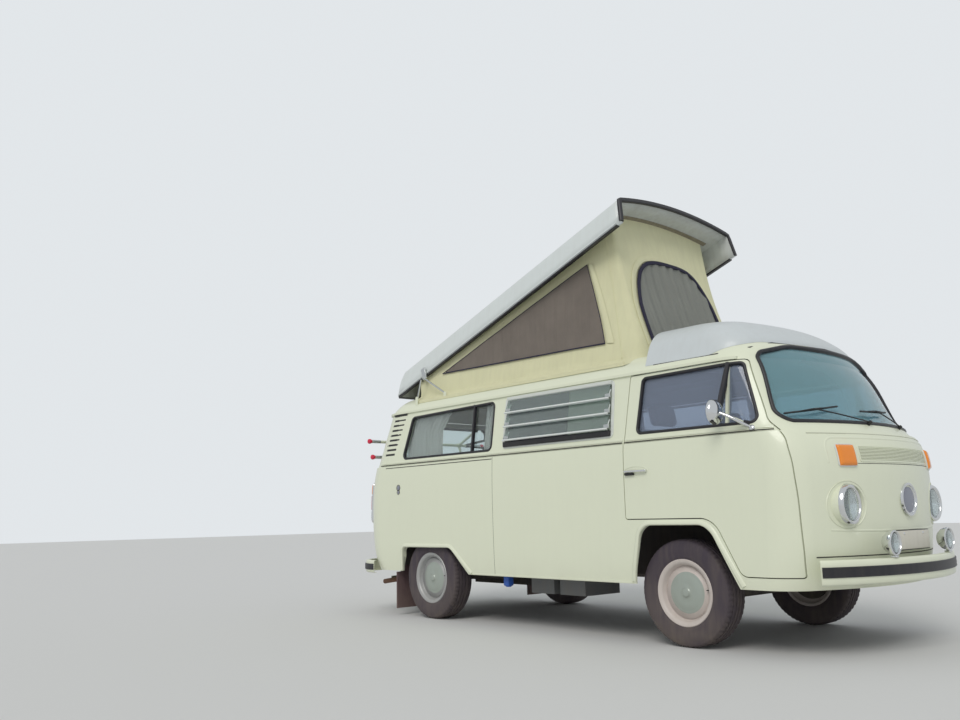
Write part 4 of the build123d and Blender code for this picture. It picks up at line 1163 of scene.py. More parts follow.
# %% Press lines of the nose
PRESS = [(-9, -2), (-5, 1.4), (0, 2.2), (5, 1.4), (9, -2)]
FINE_SEAM = [(-1.6, -3), (-1.6, 0.6), (1.6, 0.6), (1.6, -3)]
NOSE_LINES = {"nose_panel_line": [(-628, 1030, 1), (-628, 1172, 70), (628, 1172, 70), (628, 1030, 1)],
              "lower_press_line": [(-640, 672, 1), (-543, 668, 200), (-300, 662, 400), (300, 662, 400),
                                   (543, 668, 200), (640, 672, 1)]}
for name, corners in NOSE_LINES.items():
    path, outward = laid(rounded_outline(corners, 30, closed=False), on_nose)
    sweep(name, path, outward, PRESS, body_paint)
# The belt crease takes the grille's greyer cream: painted shade in the crease.
for name, half, z in (("grille_seam", 436, 1027), ("belt_crease", 700, 1196)):
    path, outward = laid([(y, z) for y in range(-half, half + 1, 30)], on_nose)
    sweep(name, path, outward, FINE_SEAM, grille_painted_shade if name == "belt_crease" else seam_dark)
path, outward = laid([(y, 531) for y in range(-720, 721, 30)], on_nose)
sweep("apron_seam", path, outward, SEAM, seam_dark)
print("pieces", len(made_pieces))

# %% Seal under the luggage tray
TRAY_FOOT = [(-152, -755, 1702), (87, -754, 1703), (322, -755, 1701), (481, -660, 1726), (518, -480, 1766),
             (587, -225, 1758), (594, 0, 1766)]
half_line = [at(*p) for p in TRAY_FOOT]
whole_line = half_line + [Vector((p.x, -p.y, p.z)) for p in reversed(half_line[:-1])]
fine_line = [a.lerp(b, k / 8) for a, b in zip(whole_line, whole_line[1:]) for k in range(8)] + whole_line[-1:]
middle = at(100, 0, 1500)
sweep("tray_seal", fine_line, [(p - middle).normalized() for p in fine_line],
      [(-5, -6), (-5, 2), (0, 5), (5, 2), (5, -6)], seal_rubber)
print("pieces", len(made_pieces))

# %% [markdown]
# ## Wipers and mirrors
# The wipers park to one side. Each is a pivot at the foot of the windscreen, a thin arm and a flat blade that
# lies on the glass. The door mirrors are shallow domed heads on a bent arm that springs from the door.

# %% Wipers
BLADE = [(-4, 2), (-4, 10), (4, 10), (4, 2)]
WIPERS = {"right": {"blade": [(697, -723, 1308), (762, -550, 1330), (808, -329, 1361)],
                    "joint": (766, -540, 1333), "pivot": (893, -139, 1266)},
          "left": {"blade": [(848, -142, 1340), (852, 40, 1343), (831, 218, 1355)], "joint": (852, 30, 1346),
                   "pivot": (868, 300, 1262)}}
for side, w in WIPERS.items():
    path = [at(*p) for p in w["blade"]]
    fine = [path[0].lerp(path[1], t / 5) for t in range(5)] + [path[1].lerp(path[2], t / 5) for t in range(6)]
    out = Vector((0.85, 0, 0.5)).normalized()
    sweep(f"wiper_blade_{side}", fine, [out] * len(fine), BLADE, black_trim)
    pivot, joint = at(*w["pivot"]), at(*w["joint"])
    rise = out * 16 * MM
    bar(f"wiper_arm_{side}", [pivot + rise, pivot.lerp(joint, 0.5) + rise * 1.6, joint + rise], 4, black_trim)
    lathe(f"wiper_pivot_{side}", [(0, 26), (8, 25), (11, 16), (13, 0), (13, -14), (0, -14)], pivot,
          tuple(out), black_trim, steps=24)
    bar(f"wiper_bridge_{side}",
        [joint + rise * 0.6 + (path[0] - path[2]).normalized() * 0.09, joint + rise * 1.3,
         joint + rise * 0.6 + (path[2] - path[0]).normalized() * 0.09], 3, black_trim)

# %% Door mirrors
MIRROR = (400, -930, 1338)
mirror_dome = [(0, 25), (26, 23), (50, 16), (65, 7), (72, -4), (73, -16), (70, -20), (62, -18), (0, -18)]
mirror_back = lathe("mirror_head_right", mirror_dome, at(*MIRROR), AHEAD, chrome, "cab_door_right", 56,
                    "bright_metal")
mirror_face = lathe("mirror_glass_right", [(0, -20.5), (60, -20.5), (62, -19), (60, -17), (0, -17)],
                    at(*MIRROR), AHEAD, chrome, "cab_door_right", 48)
ARM = [at(560, -822, 1240), at(530, -870, 1262), at(488, -900, 1296), at(430, -922, 1326),
       at(405, -930, 1338)]
mirror_arm = bar("mirror_arm_right", ARM, 8.5, chrome, "cab_door_right")
foot, foot_normal = on_side(565, 1236)
mirror_foot = lathe("mirror_foot_right", [(0, 12), (10, 11), (17, 6), (20, -2), (0, -3)], foot,
                    tuple(foot_normal), chrome, "cab_door_right", 28)
for piece, name in ((mirror_back, "mirror_head_left"), (mirror_face, "mirror_glass_left"),
                    (mirror_arm, "mirror_arm_left"), (mirror_foot, "mirror_foot_left")):
    other_side(piece, name, "cab_door_left")
print("pieces", len(made_pieces))

# %% [markdown]
# ## Raised roof
# The lid is a white shell, open at its front, with a grey lining. Its front edge carries a thick black trim,
# and its lower edges a thinner one. Points on the lid are given along its length, across it and up from its
# edge, and then turned by the angle at which it stands, so the trim stays square to the shell.

# %% Points on the lid
LID_ANGLE = radians(19.24)
LID_CORNER = (-3009, 1832)
LID_LENGTH, LID_EDGE_W, LID_TOP_W, LID_SIDE_H, LID_CROWN_H = 2747, 685, 652, 186, 256
LID_WALL = 25
lid_ahead = Vector((cos(LID_ANGLE), 0, sin(LID_ANGLE)))
lid_up = Vector((-sin(LID_ANGLE), 0, cos(LID_ANGLE)))
CROWN_R = (LID_TOP_W**2 + (LID_CROWN_H - LID_SIDE_H) ** 2) / (2 * (LID_CROWN_H - LID_SIDE_H))


def on_lid(run, across, height):
    """A place on the lid, in its own lengths, as it stands raised."""
    return at(LID_CORNER[0], across, LID_CORNER[1]) + (lid_ahead * run + lid_up * height) * MM


def crown(across):
    """The height of the lid's curved top over its edge."""
    return LID_CROWN_H - CROWN_R + sqrt(CROWN_R**2 - across**2)


def front_run(height):
    """How far forward the lid's sloping front reaches at a height."""
    return LID_LENGTH + 38 * (height + 1) / 301


def stepped(value, table):
    """A value read off a table of (value, result) rows, straight between them."""
    value = min(max(value, table[0][0]), table[-1][0])
    for (a, low), (b, high) in zip(table, table[1:]):
        if value <= b:
            return low + (high - low) * (value - a) / (b - a)
    return table[-1][1]


# %% Lid shell
LID_TAIL = [(-1, 0), (110, 40), (160, 95), (300, 330)]
lid_section = [(-LID_EDGE_W, 0), (-LID_EDGE_W + 12, 70), (-LID_EDGE_W + 23, 130),
               (-LID_TOP_W - 3, LID_SIDE_H - 16), (-LID_TOP_W + 1, LID_SIDE_H - 5)]
lid_section += [(y, crown(y)) for y in range(-LID_TOP_W + 12, LID_TOP_W - 11, 40)]
lid_section += [(-y, h) for y, h in reversed(lid_section[:5])]
LID_RUNS = 26
points = []
for k in range(LID_RUNS + 1):
    for y, h in lid_section:
        rear = stepped(h, LID_TAIL)
        points.append(on_lid(rear + (front_run(h) - rear) * k / LID_RUNS, y, h))
faces = grid_faces(LID_RUNS + 1, len(lid_section))
half_count = len(lid_section) // 2
for k in range(half_count):
    low, high = k, k + 1
    if high < len(lid_section) - 1 - high:
        faces.append((low, high, len(lid_section) - 1 - high, len(lid_section) - 1 - low))
    else:
        faces.append((low, high, len(lid_section) - 1 - low))
lining = finish("grey_roof_lining", srgb(198, 202, 198), 0.7, swing=0.35, tone=9.0, film=0.25,
                grain=(120.0, 0.0003))
lid_shell = new_piece("lid_shell", points, faces, shell_white, "roof_lid", "white_shell")
lid_shell.data.materials.append(lining)
thick = lid_shell.modifiers.new("sheet", "SOLIDIFY")
thick.thickness = LID_WALL * MM
thick.offset = -1
thick.material_offset = 1
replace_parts(apply_modifiers(lid_shell), "roof_lid")
print("lid shell faces", len(lid_shell.data.polygons))


def lid_block(name, runs, across, heights, material):
    """A small rounded block in the lid's own lengths."""
    piece = rounded_block(name, Vector((runs[0], across[0], heights[0])) * MM,
                          Vector((runs[1], across[1], heights[1])) * MM, 2, material, "roof_lid")
    turn = Matrix((lid_ahead, Vector((0, 1, 0)), lid_up)).transposed().to_4x4()
    piece.data.transform(Matrix.Translation(at(LID_CORNER[0], 0, LID_CORNER[1])) @ turn)
    return piece


for side, s in SIDES:
    across = sorted((s * 690, s * 705))
    lid_block(f"hanger_{side}", (398, 448), across, (-37, 62), aluminium)
    bar(f"hanger_pin_{side}", [Vector((-1.4155, s * 0.700, 1.945)), Vector((-1.4155, s * 0.727, 1.945))], 8,
        aluminium, "roof_lid")

# %% Lid trims
EDGE_TRIM = [(-17, -6), (-17, 7), (-12, 13), (12, 13), (17, 7), (17, -6)]
front_edge = [(-LID_EDGE_W + 6, 4), (-LID_EDGE_W + 18, 70), (-LID_EDGE_W + 30, 140),
              (-LID_TOP_W + 5, LID_SIDE_H - 14)]
front_edge += [(y, crown(y) - 12) for y in range(-LID_TOP_W + 24, LID_TOP_W - 23, 50)]
front_edge += [(-y, h) for y, h in reversed(front_edge[:4])]
path = [on_lid(front_run(h), y, h) for y, h in front_edge]
sweep("lid_front_trim", path, [lid_ahead] * len(path), EDGE_TRIM, seal_rubber, "roof_lid", slot="trim")
# The lower trims are wider than the rubber, so their black also covers the shade along the lid's lower edges:
# part trim, part painted shade.
LOW_TRIM = [(-14, -3), (-14, 9), (14, 9), (14, -3)]
for side, s in SIDES:
    path = [on_lid(run, s * (LID_EDGE_W - 12), -1) for run in range(8, LID_LENGTH, 180)]
    sweep(f"lid_lower_trim_{side}", path, [-lid_up] * len(path), LOW_TRIM, seal_rubber, "roof_lid")
    rim = [on_lid(run, s * (LID_EDGE_W + 1), 16) for run in range(8, LID_LENGTH - 4, 180)]
    sweep(f"lid_drip_rib_{side}", rim, [Vector((0, s, 0))] * len(rim), [(-7, -3), (-5, 3), (5, 3), (7, -3)],
          shell_white, "roof_lid")
    rail = [on_lid(run, s * (LID_EDGE_W - LID_WALL - 12), 22) for run in range(420, LID_LENGTH - 20, 300)]
    sweep(f"lid_inner_rail_{side}", rail, [Vector((0, -s, 0))] * len(rail),
          [(-9, -4), (-9, 7), (9, 7), (9, -4)], lining, "roof_lid")
path = [on_lid(4, y, -1) for y in range(-LID_EDGE_W + 12, LID_EDGE_W, 74)]
sweep("lid_rear_trim", path, [-lid_up] * len(path), LOW_TRIM, seal_rubber, "roof_lid")
# A brown-grey strip along the lining under the lid's front, darker than the canvas.
batten_brown_grey = finish("brown_grey_batten", srgb(150, 142, 122), 0.85, swing=0.9, tone=30.0,
                      weave=(200.0, 0.0010))
path = [on_lid(2606, y, crown(y) - LID_WALL - 3) for y in range(-560, 561, 40)]
sweep("lining_batten", path, [-lid_up] * len(path), [(-16, -4), (-16, 5), (16, 5), (16, -4)], batten_brown_grey,
      "roof_lid")

# %% [markdown]
# ## Canvas
# The canvas is sewn from two sides with rounded front corners, a front and a low rear panel. Tension pulls
# its corners in between the roof and the lid, and the cloth ripples a little. Each panel is one curved grid
# whose points come from the foot line on the roof and the top line under the lid's crown.

# %% Canvas form
HALF_WIDTHS = [(1735, 738), (1768, 708), (1800, 664), (2900, 535)]
FIXED_Z = 1769
FOOT_Z, FRONT_FOOT_Z = 1737, 1786
FRONT_X, FRONT_LEAN = -313, 0.2836
REAR_X, REAR_LEAN = -2693, 0.172
TOP_RUN = (2590, 330)
TOP_DROP = 28
CORNER_PULL = 45
CORNER_FADE = 7
FRONT_TOP_HALF, REAR_TOP_SPREAD = 535, 95
FRONT_LINE_HALF = 510
CORNER_TOP_R, CORNER_FOOT_R = 26, 110


def corner_radius(t):
    """The radius of the front corners, from foot to top."""
    return CORNER_TOP_R + (CORNER_FOOT_R - CORNER_TOP_R) * (1 - t) ** 2


def top_line(run, across):
    """The (x, z) of the cloth's top at a run and a place across."""
    height = crown(across) - TOP_DROP
    return (LID_CORNER[0] + run * cos(LID_ANGLE) - height * sin(LID_ANGLE),
            LID_CORNER[1] + run * sin(LID_ANGLE) + height * cos(LID_ANGLE))


def front_x(z):
    """How far forward the front panel stands at a height."""
    return FRONT_X - FRONT_LEAN * (z - FIXED_Z)


def line_ends(u):
    """The foot and the top of the side cloth, u of the way from front to rear: (x, z) each."""
    front_foot = front_x(FOOT_Z) - CORNER_FOOT_R
    rear_foot = REAR_X - REAR_LEAN * (FOOT_Z - FIXED_Z)
    run = TOP_RUN[0] - CORNER_TOP_R + (TOP_RUN[1] - TOP_RUN[0] + CORNER_TOP_R) * u
    across = FRONT_TOP_HALF + REAR_TOP_SPREAD * u
    return (front_foot + (rear_foot - front_foot) * u, FOOT_Z), top_line(run, across)


def ripple(x, z, size=5.0):
    """The cloth's small swell, in millimetres."""
    slack = noise.noise(Vector((x * 0.0045, z * 0.006, 1.7)))
    creases = noise.noise(Vector((x * 0.02 + z * 0.012, z * 0.004 - x * 0.002, 4.2)))
    return size * slack + size * 0.45 * creases


def tension(t):
    """How far the corner is pulled in at a share of the height."""
    return CORNER_PULL * sin(pi * min(1.0, max(0.0, t)))


def side_run(u, t):
    """The (x, z) of the side cloth at u and t."""
    (x0, z0), (x1, z1) = line_ends(u)
    bow = corner_radius(t) - CORNER_FOOT_R + (CORNER_FOOT_R - CORNER_TOP_R) * t
    return x0 + (x1 - x0) * t - (tension(t) + bow) * exp(-CORNER_FADE * max(0.0, u)), z0 + (z1 - z0) * t


def side_cloth(u, t, s, off=0.0):
    """A point of a side panel: u from front to rear, t from foot to top."""
    x, z = side_run(u, t)
    pull = tension(t) * exp(-CORNER_FADE * max(0.0, u))
    swell = ripple(x + 900 * s, z) * sin(pi * min(1, t * 1.15)) * min(1.0, u * 12) + off
    return at(x, s * (stepped(z, HALF_WIDTHS) - pull + swell), z)


def front_cloth(a, t, off=0.0):
    """A point of the front panel: a from -1 at the right corner to 1, t from foot to top."""
    pull, radius = tension(t), corner_radius(t)
    z = FRONT_FOOT_Z + (top_line(TOP_RUN[0], a * FRONT_LINE_HALF)[1] - FRONT_FOOT_Z) * t
    half = stepped(z, HALF_WIDTHS) - pull - radius
    swell = ripple(a * 600, z + 300) * (1 - abs(a) ** 6) * sin(pi * min(1, t * 1.1)) + off
    belly = 14 * sin(pi * t) * (1 - a * a)
    return at(front_x(z) - pull + swell + belly, a * half, z)


def corner_cloth(share, t, s):
    """A point of the rounded corner: share 0 at the front panel, 1 at the side panel."""
    turn = share * pi / 2
    front_z = (front_cloth(s, t).z) / MM
    z = front_z + (side_run(0, t)[1] - front_z) * share
    radius, pull = corner_radius(t), tension(t)
    half = stepped(z, HALF_WIDTHS) - pull
    return at(front_x(z) - pull - radius + radius * cos(turn), s * (half - radius + radius * sin(turn)), z)


# %% Canvas panels
CORNER_COLUMNS = 8
SIDE_COLUMNS = 104


def side_panel(column, t, s):
    """The side panel with its rounded front corner, by column."""
    if column < CORNER_COLUMNS:
        return corner_cloth(column / CORNER_COLUMNS, t, s)
    return side_cloth((column - CORNER_COLUMNS) / (SIDE_COLUMNS - CORNER_COLUMNS), t, s)


def folding(piece):
    """A piece of the cloth, given its own copy of its mesh."""
    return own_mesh(piece)


def cloth_sheet(name, maker, counts, material, slot="canvas_cloth"):
    """A cloth piece from a grid maker(u, t), with its own copy of its mesh."""
    rows, columns = counts
    points = [maker(i / rows, j / columns) for i in range(rows + 1) for j in range(columns + 1)]
    piece = new_piece(name, points, grid_faces(rows + 1, columns + 1), material, "van_body", slot)
    folding(piece)
    return piece


for side, s in SIDES:
    panel = cloth_sheet(f"canvas_{side}", lambda u, t, s=s: side_panel(u * SIDE_COLUMNS, t, s),
                        (SIDE_COLUMNS, 34), canvas_cloth)
    if s < 0:
        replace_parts(panel, "canvas")
cloth_sheet("canvas_front", lambda u, t: front_cloth(2 * u - 1, t), (60, 48), canvas_cloth)


def rear_cloth(u, t):
    """The low panel under the rear of the lid."""
    a, b = side_cloth(1, t, -1), side_cloth(1, t, 1)
    return a.lerp(b, u) + Vector((ripple(u * 1200, t * 300) * sin(pi * u) * MM, 0, 0))


cloth_sheet("canvas_rear", rear_cloth, (40, 12), canvas_cloth)

# %% [markdown]
# ## Windows in the canvas
# Each side has a triangle of dark mesh with a curtain's folds, a binding along its foot and a raised flap in
# front of it. The front has a tall window with an arched top and a gathered curtain. The window outlines are
# drawn flat and laid on the cloth, a few millimetres proud of it.

# %% Laying things on the cloth
CLOTH_LENGTH = 2300
SIDE_SLOPE = 0.11
FRONT_OUT = Vector((0.96, 0, 0.27))


def side_share(x, z):
    """The (u, t) of a side-view point on the side cloth."""
    u, t = 0.3, 0.3
    for _ in range(30):
        (x0, z0), (x1, z1) = line_ends(u)
        t = (z - z0) / (z1 - z0)
        u += (side_run(u, t)[0] - x) / CLOTH_LENGTH * 0.8
    return u, t


def front_share(y, z):
    """The (a, t) of a front-view point on the front cloth."""
    a, t = 0.0, 0.5
    for _ in range(6):
        t = (z - FRONT_FOOT_Z) / (top_line(TOP_RUN[0], a * FRONT_LINE_HALF)[1] - FRONT_FOOT_Z)
        a = y / (stepped(z, HALF_WIDTHS) - tension(t) - corner_radius(t))
    return a, t


def lay_side(outline, s, off):
    """A side-view outline on the side cloth, with outward directions."""
    path = [side_cloth(*side_share(x, z), s, off) for x, z in outline]
    return path, [Vector((0, s, SIDE_SLOPE)).normalized()] * len(path)


def lay_front(outline, off):
    """A front-view outline on the front cloth, with outward directions."""
    path = [front_cloth(*front_share(y, z), off) for y, z in outline]
    return path, [FRONT_OUT] * len(path)


# %% Mesh triangles on the sides
TIP, LOW, HIGH = Vector((-2414, 1961)), Vector((-641, 1933)), Vector((-837, 2549))
FOOT_BINDING = [(-4.5, -1), (-4.5, 3), (-3, 4.4), (3, 4.4), (4.5, 3), (4.5, -1)]
EDGE_STITCH = [(-1.8, -1), (-1.8, 2.4), (1.8, 2.4), (1.8, -1)]


def triangle_mesh(u, t, s):
    """The mesh, from its rear tip (u = 0) to its front edge, hanging in soft upright folds."""
    place = TIP.lerp(LOW, u).lerp(TIP.lerp(HIGH, u), t)
    wide = 3.4 * sin(place.x * 0.045 + 1.6 * sin(place.x * 0.011))
    folds = wide + 1.8 * sin(place.x * 0.12 + place.y * 0.01)
    return side_cloth(*side_share(place.x, place.y), s, 7 + folds * sin(pi * t) ** 0.5)


def flap_strip(u, t, s):
    """The flap in front of the mesh, wider at its foot."""
    place = LOW.lerp(HIGH, t) + Vector(((12 + 62 * u) * (1 - 0.35 * t), -6 * u))
    return side_cloth(*side_share(place.x, place.y), s, 3 + 6 * sin(pi * min(u, 0.999)) ** 0.5)


for side, s in SIDES:
    cloth_sheet(f"side_mesh_{side}", lambda u, t, s=s: triangle_mesh(0.02 + 0.98 * u, t, s), (150, 26),
                mesh_cloth)
    cloth_sheet(f"side_flap_{side}", lambda u, t, s=s: flap_strip(u, t, s), (8, 30), canvas_facing)
    for part, a, b, section in (("foot", TIP, LOW, FOOT_BINDING), ("front", LOW, HIGH, EDGE_STITCH),
                                ("top", HIGH, TIP, EDGE_STITCH)):
        path, outward = lay_side([a.lerp(b, k / 40) for k in range(41)], s, 9)
        folding(sweep(f"side_mesh_{part}_{side}", path, outward, section, navy_binding))

# %% Front window with its gathered curtain
ARCH_FOOT_Z, ARCH_H, ARCH_HALF, ARCH_Y = 1800, 788, 478, -8


def arch_half(z):
    """Half the window's width at a height, under its arched top."""
    return ARCH_HALF * max(0.0, 1 - ((z - ARCH_FOOT_Z) / ARCH_H) ** 3) ** (1 / 3.5)


def arch_outline(grow):
    """The window's outline, pushed out by a distance: up the right side, over the top and down."""
    rise = []
    for k in range(41):
        turn = pi / 2 * k / 41
        rise.append(((ARCH_HALF + grow) * cos(turn) ** (2 / 3.5),
                     ARCH_FOOT_Z + (ARCH_H + grow) * sin(turn) ** (2 / 3)))
    top = [(ARCH_Y, ARCH_FOOT_Z + ARCH_H + grow)]
    return [(ARCH_Y - h, z) for h, z in rise] + top + [(ARCH_Y + h, z) for h, z in reversed(rise)]


def curtain(u, t):
    """The curtain behind the window: soft pleats, nipped at the top."""
    z = ARCH_FOOT_Z + 2 + (ARCH_H - 8) * t
    y = ARCH_Y + (2 * u - 1) * (arch_half(z) - 4)
    pleat = 8 * sin(y * 0.070 + 0.6 * sin(z * 0.004)) + 3 * sin(y * 0.19 + z * 0.002)
    return front_cloth(*front_share(y, z), 12 + 0.8 * pleat)


cloth_sheet("front_curtain", curtain, (190, 36), arch_curtain, slot="curtain_cloth")
path, outward = lay_front(arch_outline(-14), 16)
ARCH_BINDING = [(-14, -5), (-14, 3), (-10, 6), (10, 6), (14, 3), (14, -5)]
folding(sweep("front_window_binding", path, outward, ARCH_BINDING, navy_binding))
path, outward = lay_front(arch_outline(22), 4)
folding(sweep("front_window_facing", path, outward,
              [(-22, -2), (-22, 2), (-18, 3), (18, 3), (22, 2), (22, -2)], canvas_facing))

# %% Seams and the hem of the canvas
HEM = [(-12, -1), (-12, 3), (12, 3), (12, -1)]
for side, s in SIDES:
    path = [side_cloth(k / 60, 0.014, s, 3) for k in range(61)]
    folding(sweep(f"canvas_hem_{side}", path, [Vector((0, s, 0.1)).normalized()] * 61, HEM, canvas_facing))
    seam_line = [side_cloth(0.025, t / 40, s, 1) for t in range(1, 40)]
    folding(sweep(f"canvas_corner_seam_{side}", seam_line, [Vector((0, s, 0))] * 39,
                  [(-2.5, -2), (-2, 1.5), (2, 1.5), (2.5, -2)], canvas_facing))
print("pieces", len(made_pieces))

# %% [markdown]
# ## Belt ledge, arches and cooling slots
# The belt ledge is a rounded fold that catches the sky, with a dark line under it. The wheel openings end
# in a wide rolled lip, and the sill in a narrow one. Behind the rear window are nine cooling slots, and
# below them are two filler caps with their rings. All of them are sweeps and patches that the rays lay onto
# the panels.

# %% Belt ledge, arch lips and sill
LEDGE = [(-11, -3), (-8, 2.5), (0, 4.5), (8, 2.5), (11, -3)]
ARCH_FRONT = [(-318, 372, 5), (-313, 430, 400), (-252, 723, 105), (252, 723, 140), (452, 372, 5)]
for side, s in SIDES:
    side_line(f"belt_ledge_{side}", [(-3040, 1240, 1), (-362, 1240, 1)], s, LEDGE, body_paint)
    side_line(f"belt_ledge_door_{side}", [(-344, 1240, 1), (676, 1240, 1)], s, LEDGE, body_paint,
              f"cab_door_{side}")
    side_line(f"belt_strip_{side}", [(-2960, 1197, 1), (-1606, 1197, 1)], s, SEAM, seam_dark)
    side_line(f"front_arch_lip_{side}", ARCH_FRONT, s, ARCH_LIP, body_paint, step=20)
    side_line(f"sill_lip_{side}", [(-1850, 363, 1), (-330, 363, 1)], s, LIP, body_paint)

# %% Cooling slots and filler flap
SLOTS = 9
# Each slot is a black patch laid on the panel: painted shade inside the slot.
for side, s in SIDES:
    for k in range(SLOTS):
        low = 1302 + 41 * k
        patch(f"cooling_slot_shade_{side}_{k + 1}", lambda x, z, s=s: on_side(x, z, s),
              (-3030 + 13 * k, -2862 + 16 * k), (low, low + 21), 1.2, black_trim, rim=2, cells=(8, 3))
# The caps and their dark rings paint the shade of the filler flap's recess and shut line.
filler_ring = [(-1.5, -1), (-1.5, 2.2), (1.5, 2.2), (1.5, -1)]
for name, z, radius in (("upper", 1028, 24), ("lower", 992, 18)):
    ring = [(-2772 + radius * cos(2 * pi * k / 28), z + radius * sin(2 * pi * k / 28)) for k in range(28)]
    path, outward = laid(ring, on_side)
    sweep(f"filler_ring_{name}", path, outward, filler_ring, seam_dark, closed=True)
    place, normal = on_side(-2772, z)
    lathe(f"filler_cap_{name}", [(0, 3), (radius - 7, 2.4), (radius - 4, 0), (0, -2)], place, tuple(normal),
          shade_blue_grey, steps=28)
print("pieces", len(made_pieces))

# %% [markdown]
# ## Louvred window
# Three glass slats hang in a pale frame, each with a bright rail along its lower edge, and swing out
# together on levers at both ends. A net and a pale blind close the opening behind them; the net is dark with
# painted shade of the van's inside, and a black block paints the shade in the gap under the lowest slat.

# %% Frame, slats and levers
SLAT_H, SLAT_PITCH, SLAT_Z, SLAT_TURN = 101, 101, 1370, radians(22)
SLAT_X = (-1468, -478)
SLAT_Y = -840
RAIL = [(-5, -4), (-5, 4), (-2, 6), (5, 6), (7, 3), (7, -4)]
bright_rail = finish("bright_rail", srgb(226, 230, 228), 0.3, metal=0.2, film=0.05, swing=0.05)
path, outward = laid(rounded_outline(grown(JALOUSIE, SEAL_START)), on_side)
frame_section = [(-13, -18), (-13, 3), (-10, 6), (8, 6), (13, 2), (13, -18)]
jalousie_frame = sweep("louvre_frame", drawn_in(path, outward, 16), outward, frame_section, painted_frame,
                       closed=True, slot="aluminium")
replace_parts(jalousie_frame, "jalousie")
down = Vector((0, -sin(SLAT_TURN), -cos(SLAT_TURN)))
face_out = Vector((0, -cos(SLAT_TURN), sin(SLAT_TURN)))


def slat_middle(x, index):
    """The middle of a slat's height at a place along the window."""
    z = SLAT_Z + index * SLAT_PITCH
    return at(x, SLAT_Y + (z - SLAT_Z) * WALL_LEAN, z)


for k in range(3):
    corners = []
    for x in SLAT_X:
        for edge in (-1, 1):
            for face in (-2.5, 2.5):
                corners.append(slat_middle(x, k) + down * edge * SLAT_H / 2 * MM + face_out * face * MM)
    sides = [(0, 1, 3, 2), (4, 6, 7, 5), (0, 4, 5, 1), (2, 3, 7, 6), (0, 2, 6, 4), (1, 5, 7, 3)]
    new_piece(f"slat_{k + 1}", corners, sides, slat_glass)
    for part, edge in (("lower", 1), ("upper", -1)):
        line = [slat_middle(x, k) + down * edge * SLAT_H / 2 * MM for x in (SLAT_X[0] - 6, SLAT_X[1] + 6)]
        section = RAIL if part == "lower" else [(-2, -2), (-2, 3), (2, 3), (2, -2)]
        sweep(f"slat_rail_{part}_{k + 1}", line, [face_out] * 2, section, bright_rail)
    for end, x in (("rear", SLAT_X[0] + 26), ("front", SLAT_X[1] - 4)):
        foot = slat_middle(x, k) + down * 40 * MM - face_out * 6 * MM
        head = foot + Vector((0, 0.030, 0.052))
        bar(f"slat_lever_{end}_{k + 1}", [foot, head], 5, bright_rail)
        clip = slat_middle(x, k) + down * 34 * MM
        half = Vector((22, 5, 13)) * MM
        rounded_block(f"slat_clip_{end}_{k + 1}", clip - half, clip + half, 3, aluminium)
# A black block fills the gap under the lowest slat: painted shade in the gap.
rounded_block("louvre_gap_shade", at(-1484, -850, 1274), at(-462, -826, 1312), 4, black_trim)

# %% Net and blind behind the slats
# The net's dark colour is painted shade of the van's inside behind it.
net_and_inside_shade = finish("dark_net_painted_inside_shade", srgb(72, 64, 82), 0.9, swing=0.3, tone=8.0, weave=(260.0, 0.0006))
blind_cloth = finish("pale_blind", srgb(186, 192, 178), 0.9, swing=0.12, tone=8.0, weave=(160.0, 0.0010))
NET_Y, NET_Z, NET_H = -802, 1270, 348
for name, span, material in (("net_painted_inside_shade", (-1490, -884), net_and_inside_shade), ("blind", (-880, -456), blind_cloth)):
    points = [at(span[0] + (span[1] - span[0]) * i / 24,
                 NET_Y + NET_H * WALL_LEAN * j / 8 + 1.5 * sin(i * 0.9),
                 NET_Z + NET_H * j / 8) for i in range(25) for j in range(9)]
    screen = new_piece(name, points, grid_faces(25, 9), material)
print("pieces", len(made_pieces))

# %% [markdown]
# ## Handles and small fittings
# A lever handle sits in a pressed oval on each cab door, and the sliding door, tailgate and engine lid have
# their own. The bicycle carrier's bars end in red knobs.

# %% Handles
for side, s in SIDES:
    door = f"cab_door_{side}"
    oval = [(-256 + 92 * cos(2 * pi * k / 36), 1040 + 27 * sin(2 * pi * k / 36)) for k in range(36)]
    path, outward = laid(oval, lambda x, z, s=s: on_side(x, z, s))
    sweep(f"handle_oval_{side}", path, outward, [(-5, -2), (0, 2), (5, -2)], body_paint, door, closed=True)
    low, high = sorted((s * 866, s * 882))
    rounded_block(f"door_handle_{side}", at(-336, low, 1032), at(-166, high, 1045), 5, chrome, door,
                  "bright_metal")
    low, high = sorted((s * 856, s * 874))
    rounded_block(f"handle_plate_{side}", at(-338, low, 1014), at(-268, high, 1031), 5, black_trim, door)
    rounded_block(f"handle_root_{side}", at(-186, min(s * 852, s * 874), 1030),
                  at(-166, max(s * 852, s * 874), 1046), 4, chrome, door)
rounded_block("sliding_door_handle", at(-540, 862, 1030), at(-410, 880, 1046), 5, chrome)
rounded_block("sliding_rail", at(-2760, 853, 1196), at(-1600, 866, 1214), 4, aluminium)
for name, z, body in (("tailgate", 972, "tailgate"), ("engine_lid", 828, "engine_lid")):
    place, normal = on_tail(0, z)
    half = Vector((0.012, 0.052, 0.014))
    rounded_block(f"{name}_grip", place + normal * 0.012 - half, place + normal * 0.012 + half, 6, chrome,
                  body)
tail_plate_x = (on_tail(0, 700)[0].x - FRONT_AXLE_X) / MM
rounded_block("rear_plate", at(tail_plate_x - 12, -260, 640), at(tail_plate_x - 5, 260, 750), 3, plate_paint,
              "engine_lid")
rounded_block("rear_plate_rim", at(tail_plate_x - 6, -266, 634), at(tail_plate_x - 1, 266, 756), 3,
              black_trim, "engine_lid")

